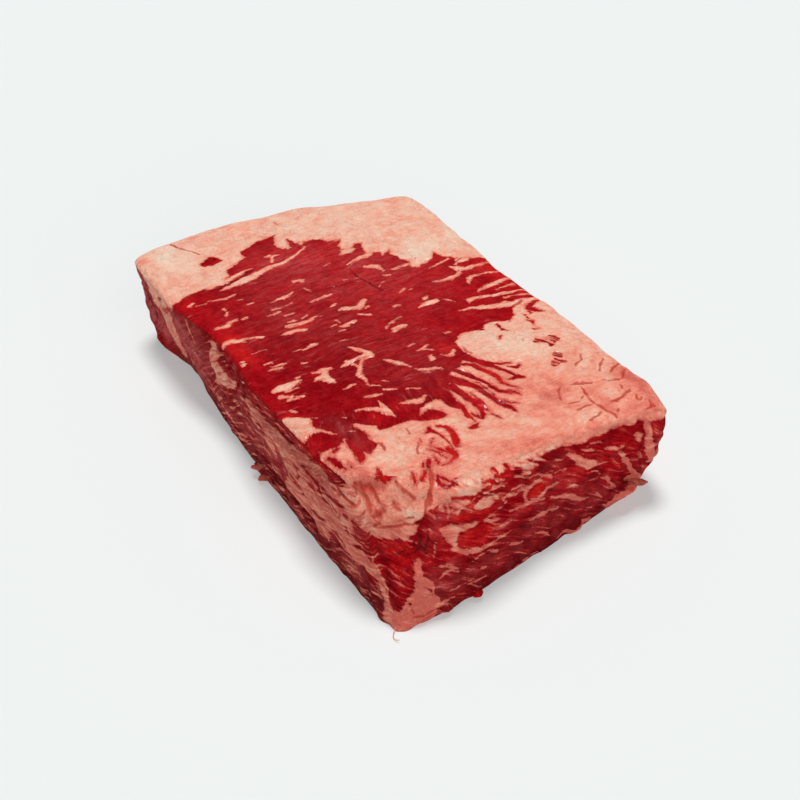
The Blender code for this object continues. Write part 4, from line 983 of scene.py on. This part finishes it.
def blend(tree, share, first, second, kind="MIX"):
    """Mixes two colours."""
    first, second = (colour if isinstance(colour, bpy.types.NodeSocket) else (*colour, 1.0)
                     for colour in (first, second))
    node = add_node(tree, "ShaderNodeMix", {0: share, 6: first, 7: second}, data_type="RGBA", blend_type=kind)
    return node.outputs[2]


def fibre_group():
    """Builds the node group that turns grain coordinates into muscle fibres and fine pale streaks."""
    if "meat fibres" in bpy.data.node_groups:
        return bpy.data.node_groups["meat fibres"]
    group = bpy.data.node_groups.new("meat fibres", "ShaderNodeTree")
    group.interface.new_socket("Grain", in_out="INPUT", socket_type="NodeSocketVector")
    for name in ("Fibres", "Streaks"):
        group.interface.new_socket(name, in_out="OUTPUT", socket_type="NodeSocketFloat")
    grain = add_node(group, "NodeGroupInput").outputs["Grain"]
    grain = warp(group, grain, 60.0, 1.0, (0.008, 0.0, 0.0))
    fibres = speckle(group, vectors(group, "MULTIPLY", grain, (1.0, 0.13, 1.0)), 0.0011, 3.0, 0.6)
    streaks = speckle(group, vectors(group, "MULTIPLY", grain, (1.0, 0.17, 1.0)), 0.0026, 2.0, 0.5)
    add_node(group, "NodeGroupOutput", {"Fibres": fibres, "Streaks": streaks})
    return group


def fibres_along(tree, name):
    """Places the fibre group on one of the mesh's grain attributes."""
    node = tree.nodes.new("ShaderNodeGroup")
    node.node_tree = fibre_group()
    tree.links.new(field(tree, name, "Vector"), node.inputs["Grain"])
    return node.outputs["Fibres"], node.outputs["Streaks"]


def depth_in_fat(tree, spot, drawn, fibres, streaks):
    """How deep each spot lies in the fat, with its edge drawn out along the fibres."""
    marble = drawn["marble"]
    reach = graded(tree, marble, 6.0, 0.45)
    depth = combine(tree, "MINIMUM", times(tree, drawn["fat"], graded(tree, marble, 1.0, 2.4)), reach)
    depth = combine(tree, "MAXIMUM", depth, times(tree, reach, -1.0))
    feather = combine(tree, "SUBTRACT", mixed(tree, marble, fibres, streaks), 0.5)
    feather = times(tree, feather, graded(tree, marble, 2.5, 13.0))
    return add_up(tree, depth, feather, swing(tree, speckle(tree, spot, 0.0012), 0.3))


def lean_colour(tree, colours, spot, drawn, fibres, streaks, depth):
    """Colours the lean: its tones, the film of the walls, the pale veil of thin fat and of painted sheen, the
    streaks, thin fat, and the painted shade at the bottom of its creases.
    """
    clouds = speckle(tree, spot, 0.014, 5.0, 0.7)
    grain_tone = times(tree, swing(tree, fibres, 0.42), spread(tree, drawn["wall"], 0.0, 1.0, 0.5, 1.0))
    banded = times(tree, swing(tree, streaks, 0.5), drawn["wall"])
    tone = add_up(tree, drawn["tone"], grain_tone, swing(tree, clouds, 0.30), banded)
    tone = combine(tree, "SUBTRACT", tone, drawn["shade"])
    lean = ramp(tree, tone, (
        (0.0, colours.lean_dark), (0.35, colours.lean_deep), (0.6, colours.lean), (1.0, colours.lean_bright)))
    film = times(tree, spread(tree, clouds, 0.35, 0.65, 0.12, 0.62), drawn["film"])
    lean = blend(tree, film, lean, colours.film)
    # Paler pink lean: a veil of thin fat on the walls, a painted sheen on the top
    veil_and_sheen_share = times(tree, drawn["haze"], spread(tree, streaks, 0.38, 0.64, 0.35, 1.3, smooth=False))
    lean = blend(tree, veil_and_sheen_share, lean, colours.haze)
    patchy = spread(tree, speckle(tree, spot, 0.021, 1.0), 0.45, 0.62)
    patchy = combine(tree, "SUBTRACT", patchy, drawn["haze"], limit=True)
    lean = blend(tree, times(tree, spread(tree, streaks, 0.60, 0.70, 0.0, 0.36), patchy), lean, colours.streak)
    lean = blend(tree, spread(tree, depth, -1.0, 0.1, 0.0, 0.55), lean, colours.thin_fat)
    # The lean is darkened at the bottom of its creases: painted shade
    return blend(tree, spread(tree, drawn["crease"], -0.5, 0.4, 0.0, 0.75), lean, colours.lean_crease_shade)


def fat_colour(tree, colours, spot, drawn, folds, streaks, depth, lobes):
    """Colours the fat: its warmth, creases and veins."""
    flow = times(tree, swing(tree, streaks, 0.5), graded(tree, drawn["wall"], 0.22, 0.70))
    flow = add_up(tree, flow, swing(tree, folds, 0.22))
    warmth = add_up(tree, drawn["warmth"], swing(tree, speckle(tree, spot, 0.009, 5.0, 0.65), 0.38), flow,
                    spread(tree, depth, 0.0, 2.4, -0.75, 0.12))
    warmth = combine(tree, "SUBTRACT", warmth, times(tree, drawn["wall"], 0.30))
    fat = ramp(tree, warmth, (
        (0.0, colours.fat_red), (0.35, colours.fat_salmon), (0.65, colours.fat_pale), (1.0, colours.fat_cream)))
    fat = blend(tree, spread(tree, drawn["crease"], -1.0, 0.3, 0.0, 0.85), fat, colours.fat_groove)
    webbed = spread(tree, speckle(tree, spot, 0.017), 0.46, 0.66, 0.02, 0.40)
    return blend(tree, times(tree, spread(tree, lobes, 0.0, 0.10, 1.0, 0.0), webbed), fat, colours.fat_red)


def surface_height(tree, spot, coverage, fibres, folds, lobes):
    """The fine bumps of the surface: fibres in the lean, folds and grains in the fat."""
    fat_bumps = graded(tree, speckle(tree, spot, 0.0036, 4.0, 0.62), -0.9, 1.5)
    fat_bumps = add_up(tree, fat_bumps, times(tree, folds, 0.5))
    fat_bumps = mixed(tree, 0.10, fat_bumps, spread(tree, lobes, 0.0, 0.3))
    return mixed(tree, coverage, times(tree, fibres, 0.75), fat_bumps)


def beef_material(colours):
    """Makes the raw beef: lean muscle with its fibres, fat, and how the one runs into the other."""
    if "raw beef" in bpy.data.materials:
        return bpy.data.materials["raw beef"]
    material = bpy.data.materials.new("raw beef")
    material.use_nodes = True
    tree = material.node_tree
    tree.nodes.clear()
    spot = add_node(tree, "ShaderNodeTexCoord").outputs["Object"]
    drawn = {name: field(tree, name) for name in FIELD_NAMES}
    grains = [fibres_along(tree, name) for name in GRAIN_NAMES]
    fibres, streaks = (mixed(tree, drawn["wall"], mixed(tree, drawn["turn"], top, fan), side)
                       for top, fan, side in zip(*grains))
    folds, fat_streaks = (mixed(tree, drawn["wall"], top, side) for top, fan, side in zip(*grains))
    lobes = add_node(tree, "ShaderNodeTexVoronoi",
                     {"Vector": warp(tree, spot, 260.0, 2.0, (0.004, 0.004, 0.004)), "Scale": 210.0},
                     feature="DISTANCE_TO_EDGE").outputs["Distance"]

    depth = depth_in_fat(tree, spot, drawn, fibres, streaks)
    coverage = spread(tree, depth, -0.30, 0.30)
    lean = lean_colour(tree, colours, spot, drawn, fibres, streaks, depth)
    fat = fat_colour(tree, colours, spot, drawn, folds, fat_streaks, depth, lobes)
    grit = spread(tree, speckle(tree, spot, 0.0024, 4.0, 0.8), 0.3, 0.7, 0.65, 1.35, smooth=False)
    skin = blend(tree, coverage, lean, fat)
    skin = blend(tree, spread(tree, coverage, 0.0, 1.0, 1.0, 0.30), skin, grit, "MULTIPLY")
    wet = times(tree, spread(tree, speckle(tree, spot, 0.007, 3.0), 0.48, 0.62, 0.02, 0.30), drawn["gloss"])
    height = surface_height(tree, spot, coverage, fibres, folds, lobes)
    bump = add_node(tree, "ShaderNodeBump", {"Height": height, "Strength": 1.0, "Distance": 0.0018})
    shader = add_node(tree, "ShaderNodeBsdfPrincipled", {
        "Base Color": skin, "Roughness": mixed(tree, coverage, 0.40, 0.5), "Normal": bump.outputs["Normal"],
        "Coat Weight": wet, "Coat Roughness": 0.14, "Specular IOR Level": 0.0, "Subsurface Weight": 0.08,
        "Subsurface Radius": (1.0, 0.35, 0.25), "Subsurface Scale": 0.003})
    add_node(tree, "ShaderNodeOutputMaterial", {"Surface": shader.outputs["BSDF"]})
    return material


def length_property(name, description, default):
    """A length of the mesh or of its relief."""
    return bpy.props.FloatProperty(name=name, description=description, default=default, min=0.0,
                                   subtype="DISTANCE", unit="LENGTH")


def number_property(name, description, default, least=0.0):
    """A plain number, such as a light's strength."""
    return bpy.props.FloatProperty(name=name, description=description, default=default, min=least)


def place_property(name, description, default):
    """A place in the scene."""
    return bpy.props.FloatVectorProperty(name=name, description=description, default=default, size=3,
                                         subtype="TRANSLATION", unit="LENGTH")


def colour_property(name, description, default):
    """A colour of the meat, as linear red, green and blue."""
    return bpy.props.FloatVectorProperty(name=name, description=description, default=default, size=3,
                                         min=0.0, max=1.0, subtype="COLOR")


class StriploinShape(bpy.types.PropertyGroup):
    """Sizes of the skin's mesh and relief."""

    fine_edge: length_property("Finest edge", "Length of the mesh edges along the marbling", 1.0 * MM)
    coarse_edge: length_property("Coarsest edge", "Length of the mesh edges away from the marbling", 3.4 * MM)
    fat_rise: length_property("Rise of the fat", "How far the fat stands above the lean", 0.5 * MM)
    crease_depth: length_property(
        "Depth of the creases", "How deep a crease of one millimetre's half width cuts", 0.8 * MM)
    layer_depth: length_property(
        "Depth of the layers", "How far the layers of the cut sides stand in and out", 1.3 * MM)


class StriploinColours(bpy.types.PropertyGroup):
    """Colours of the lean, the fat and the stage."""

    lean_dark: colour_property("Darkest lean", "Purple lean in the shade of a fold", (0.12, 0.002, 0.005))
    lean_deep: colour_property("Deep lean", "Lean between the marbling", (0.25, 0.002, 0.005))
    lean: colour_property("Lean", "Usual colour of the lean", (0.41, 0.005, 0.009))
    lean_bright: colour_property("Bright lean", "Fresh red lean along the edges", (0.66, 0.014, 0.010))
    film: colour_property("Side film", "Brown and pink film over the cut sides", (0.40, 0.038, 0.038))
    streak: colour_property("Streaks", "Fine pale streaks in the lean", (0.60, 0.118, 0.118))
    # Paler pink lean: thin fat over the lean of the walls, and a painted sheen on the top
    haze: colour_property("Haze", "Lean under a thin veil of fat", (0.53, 0.080, 0.080))
    thin_fat: colour_property("Thin fat", "Clear edge of the fat over the lean", (0.66, 0.10, 0.08))
    # Painted shade: the dark colour of the lean at the bottom of its creases
    lean_crease_shade: colour_property("Lean grooves", "Bottom of a crease in the lean", (0.15, 0.005, 0.008))
    fat_groove: colour_property("Fat grooves", "Bottom of a crease in the fat", (0.58, 0.045, 0.028))
    fat_red: colour_property("Reddest fat", "Thin fat and fat next to lean", (0.77, 0.16, 0.12))
    fat_salmon: colour_property("Salmon fat", "Fat of the near end", (1.0, 0.34, 0.235))
    fat_pale: colour_property("Pale fat", "Fat of the far end", (1.0, 0.56, 0.41))
    fat_cream: colour_property("Cream fat", "Palest fat", (1.0, 0.76, 0.60))
    floor: colour_property("Floor", "Floor under the meat", (0.511, 0.53, 0.526))


class StriploinStage(bpy.types.PropertyGroup):
    """Camera and lights."""

    camera_place: place_property("Camera", "Where the camera stands", (0.645242, -0.382242, 0.574047))
    camera_target: place_property("Camera target", "What the camera looks at", (-0.0075, 0.0105, 0.0))
    lens: number_property("Lens", "Focal length in millimetres on a 36 mm sensor", 67.5, 10.0)
    sun_strength: number_property("Overhead light", "Strength of the wide light overhead", 2.5)
    sky_strength: number_property("Sky", "Strength of the light from all sides", 0.17)
    fill_strength: number_property("Fill light", "Strength of the wide light from the near side", 1.03)
    glint_strength: number_property("Glints", "Strength of the small lights that only the wet skin mirrors", 0.4)


class STRIPLOIN_OT_block(bpy.types.Operator):
    """Models the block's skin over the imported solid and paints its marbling"""

    bl_idname = "striploin.block"
    bl_label = "Block of striploin"

    def execute(self, context):
        shape = context.scene.striploin_shape
        block = copy_of_block()
        round_off(block)
        fields = refine(block, shape)
        mesh = block.data
        places = read_points(mesh) / MM
        store_finish(mesh, fields, places)
        carve(block, fields, shape)
        if len(mesh.polygons) > MOST_TRIANGLES:
            raise RuntimeError(f"the skin has {len(mesh.polygons)} triangles, and may have {MOST_TRIANGLES}")
        alone(block)
        bpy.ops.object.shade_smooth()
        mesh.materials.clear()
        mesh.materials.append(beef_material(context.scene.striploin_colours))
        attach(block, "root")
        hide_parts("striploin")
        print("SKIN triangles", len(mesh.polygons))
        return {"FINISHED"}


def plain_finish(mesh, along, across, fat, warmth):
    """Gives a loose sliver one even finish, with its fibres along its length."""
    even = {"fat": fat, "warmth": warmth, "marble": 0.35, "crease": -DEEP, "wall": 1.0, "gloss": 1.0, "tone": 0.35}
    for name in FIELD_NAMES:
        write_points(mesh, name, np.full(len(along), even.get(name, 0.0)))
    grain = np.column_stack((across, along, np.zeros(len(along)))) * MM
    for name in GRAIN_NAMES:
        write_points(mesh, name, grain)


def sliver(root, towards, length, width, thickness, bend, fat, warmth, seed):
    """Models one flat sliver of meat from a ball: drawn out, tapered, bent and frayed, then laid along its way."""
    bpy.ops.object.select_all(action="DESELECT")
    bpy.ops.mesh.primitive_uv_sphere_add(segments=16, ring_count=14, radius=MM, location=(0.0, 0.0, 0.0))
    piece = bpy.context.object
    mesh = piece.data
    points = read_points(mesh) / MM
    share = (points[:, 2] + 1.0) / 2.0
    fray = 1.0 + 1.1 * (value_noise(points + 10.0 * seed, 0.45, 40 + seed) - 0.5)
    taper = (1.0 - 0.45 * share) * fray
    across = points[:, 0] * width / 2.0 * taper
    along = length * (share - 0.25)
    out = points[:, 1] * thickness / 2.0 * taper + bend * share ** 2
    along_way = Vector(towards).normalized()
    side = along_way.cross(Vector((0.0, 0.0, 1.0))).normalized()
    lift = side.cross(along_way)
    axes = np.array((side, lift, along_way))
    placed = np.array(root) + np.column_stack((across, out, along)) @ axes
    placed[:, 2] = np.maximum(placed[:, 2], 0.3)
    mesh.vertices.foreach_set("co", (placed * MM).ravel())
    mesh.update()
    plain_finish(mesh, along, across, fat, warmth)
    return piece


def thread(points):
    """Models the hair-thin thread at the front tip as a tube along its points."""
    curve = bpy.data.curves.new("thread", "CURVE")
    curve.dimensions = "3D"
    curve.bevel_depth = 0.25 * MM
    curve.bevel_resolution = 2
    curve.use_fill_caps = True
    spline = curve.splines.new("BEZIER")
    spline.bezier_points.add(len(points) - 1)
    for knot, place in zip(spline.bezier_points, points):
        knot.co = Vector(place) * MM
        knot.handle_left_type = "AUTO"
        knot.handle_right_type = "AUTO"
    piece = bpy.data.objects.new("thread", curve)
    bpy.context.scene.collection.objects.link(piece)
    alone(piece)
    bpy.ops.object.convert(target="MESH")
    piece = bpy.context.object
    places = read_points(piece.data) / MM
    plain_finish(piece.data, places[:, 0], places[:, 2], 2.0, 0.0)
    return piece


class STRIPLOIN_OT_shreds(bpy.types.Operator):
    """Adds the loose slivers along the lower edges and the thread at the front tip"""

    bl_idname = "striploin.shreds"
    bl_label = "Loose shreds"

    def execute(self, context):
        pieces = [sliver(*row, seed) for seed, row in enumerate(SLIVERS)]
        pieces.append(thread(THREAD))
        bpy.ops.object.select_all(action="DESELECT")
        for piece in pieces:
            piece.select_set(True)
        context.view_layer.objects.active = pieces[0]
        bpy.ops.object.join()
        shreds = context.object
        shreds.name = "striploin_shreds"
        in_edit_mode(shreds, lambda: bpy.ops.mesh.normals_make_consistent(inside=False))
        bpy.ops.object.shade_smooth()
        shreds.data.materials.clear()
        shreds.data.materials.append(beef_material(context.scene.striploin_colours))
        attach(shreds, "root")
        return {"FINISHED"}


class STRIPLOIN_OT_stage(bpy.types.Operator):
    """Sets up the floor, the lights and the camera"""

    bl_idname = "striploin.stage"
    bl_label = "Stage"

    def execute(self, context):
        stage = context.scene.striploin_stage
        colours = context.scene.striploin_colours
        bpy.ops.object.select_all(action="DESELECT")
        bpy.ops.mesh.primitive_plane_add(size=8.0, location=(0.0, 0.0, 0.0))
        floor = context.object
        floor.name = "floor"
        paper = bpy.data.materials.new("floor")
        paper.use_nodes = True
        shader = paper.node_tree.nodes["Principled BSDF"]
        shader.inputs["Base Color"].default_value = (*colours.floor, 1.0)
        shader.inputs["Roughness"].default_value = 0.9
        shader.inputs["Specular IOR Level"].default_value = 0.0
        shader.inputs["Emission Color"].default_value = (*colours.floor, 1.0)
        shader.inputs["Emission Strength"].default_value = 0.6
        floor.data.materials.append(paper)

        for name, strength, spread_angle, direction, soft, shiny in (
                ("overhead light", stage.sun_strength, 16.0, (-0.17, 0.06, 1.0), True, True),
                ("fill light", stage.fill_strength, 60.0, (0.95, -0.15, 0.45), True, False),
                ("far glint", stage.glint_strength, 6.0, (-0.45, 0.45, 0.77), False, True),
                ("near glint", stage.glint_strength, 6.0, (0.75, 0.45, 0.45), False, True)):
            bpy.ops.object.light_add(type="SUN", location=Vector(direction) * 2.0)
            light = context.object
            light.name = name
            light.data.energy = strength
            light.data.angle = math.radians(spread_angle)
            light.visible_diffuse = soft
            light.visible_glossy = shiny
            light.rotation_euler = Vector(direction).to_track_quat("Z", "Y").to_euler()

        world = bpy.data.worlds.new("sky")
        world.use_nodes = True
        sky = world.node_tree.nodes["Background"]
        sky.inputs["Color"].default_value = (1.0, 1.0, 1.0, 1.0)
        sky.inputs["Strength"].default_value = stage.sky_strength
        context.scene.world = world
        context.scene.view_settings.view_transform = "Standard"

        bpy.ops.object.camera_add(location=stage.camera_place)
        camera = context.object
        camera.data.lens = stage.lens
        camera.data.sensor_width = 36.0
        look = Vector(stage.camera_target) - Vector(stage.camera_place)
        camera.rotation_euler = look.to_track_quat("-Z", "Y").to_euler()
        context.scene.camera = camera
        return {"FINISHED"}


class STRIPLOIN_PT_panel(bpy.types.Panel):
    """Lists the sizes, the colours and the steps of the striploin"""

    bl_idname = "STRIPLOIN_PT_panel"
    bl_label = "Striploin"
    bl_space_type = "VIEW_3D"
    bl_region_type = "UI"
    bl_category = "Striploin"

    def draw(self, context):
        for settings in (context.scene.striploin_shape, context.scene.striploin_colours,
                         context.scene.striploin_stage):
            box = self.layout.box()
            for name in settings.__annotations__:
                box.prop(settings, name)
        for operator in OPERATORS:
            self.layout.operator(operator.bl_idname)


OPERATORS = (STRIPLOIN_OT_block, STRIPLOIN_OT_shreds, STRIPLOIN_OT_stage)
CLASSES = (StriploinShape, StriploinColours, StriploinStage, *OPERATORS, STRIPLOIN_PT_panel)


def register():
    for item in CLASSES:
        bpy.utils.register_class(item)
    bpy.types.Scene.striploin_shape = bpy.props.PointerProperty(type=StriploinShape)
    bpy.types.Scene.striploin_colours = bpy.props.PointerProperty(type=StriploinColours)
    bpy.types.Scene.striploin_stage = bpy.props.PointerProperty(type=StriploinStage)


def unregister():
    del bpy.types.Scene.striploin_stage
    del bpy.types.Scene.striploin_colours
    del bpy.types.Scene.striploin_shape
    for item in reversed(CLASSES):
        bpy.utils.unregister_class(item)


def main():
    register()
    bpy.ops.striploin.block()
    bpy.ops.striploin.shreds()
    bpy.ops.striploin.stage()


if __name__ == "__main__":
    main()
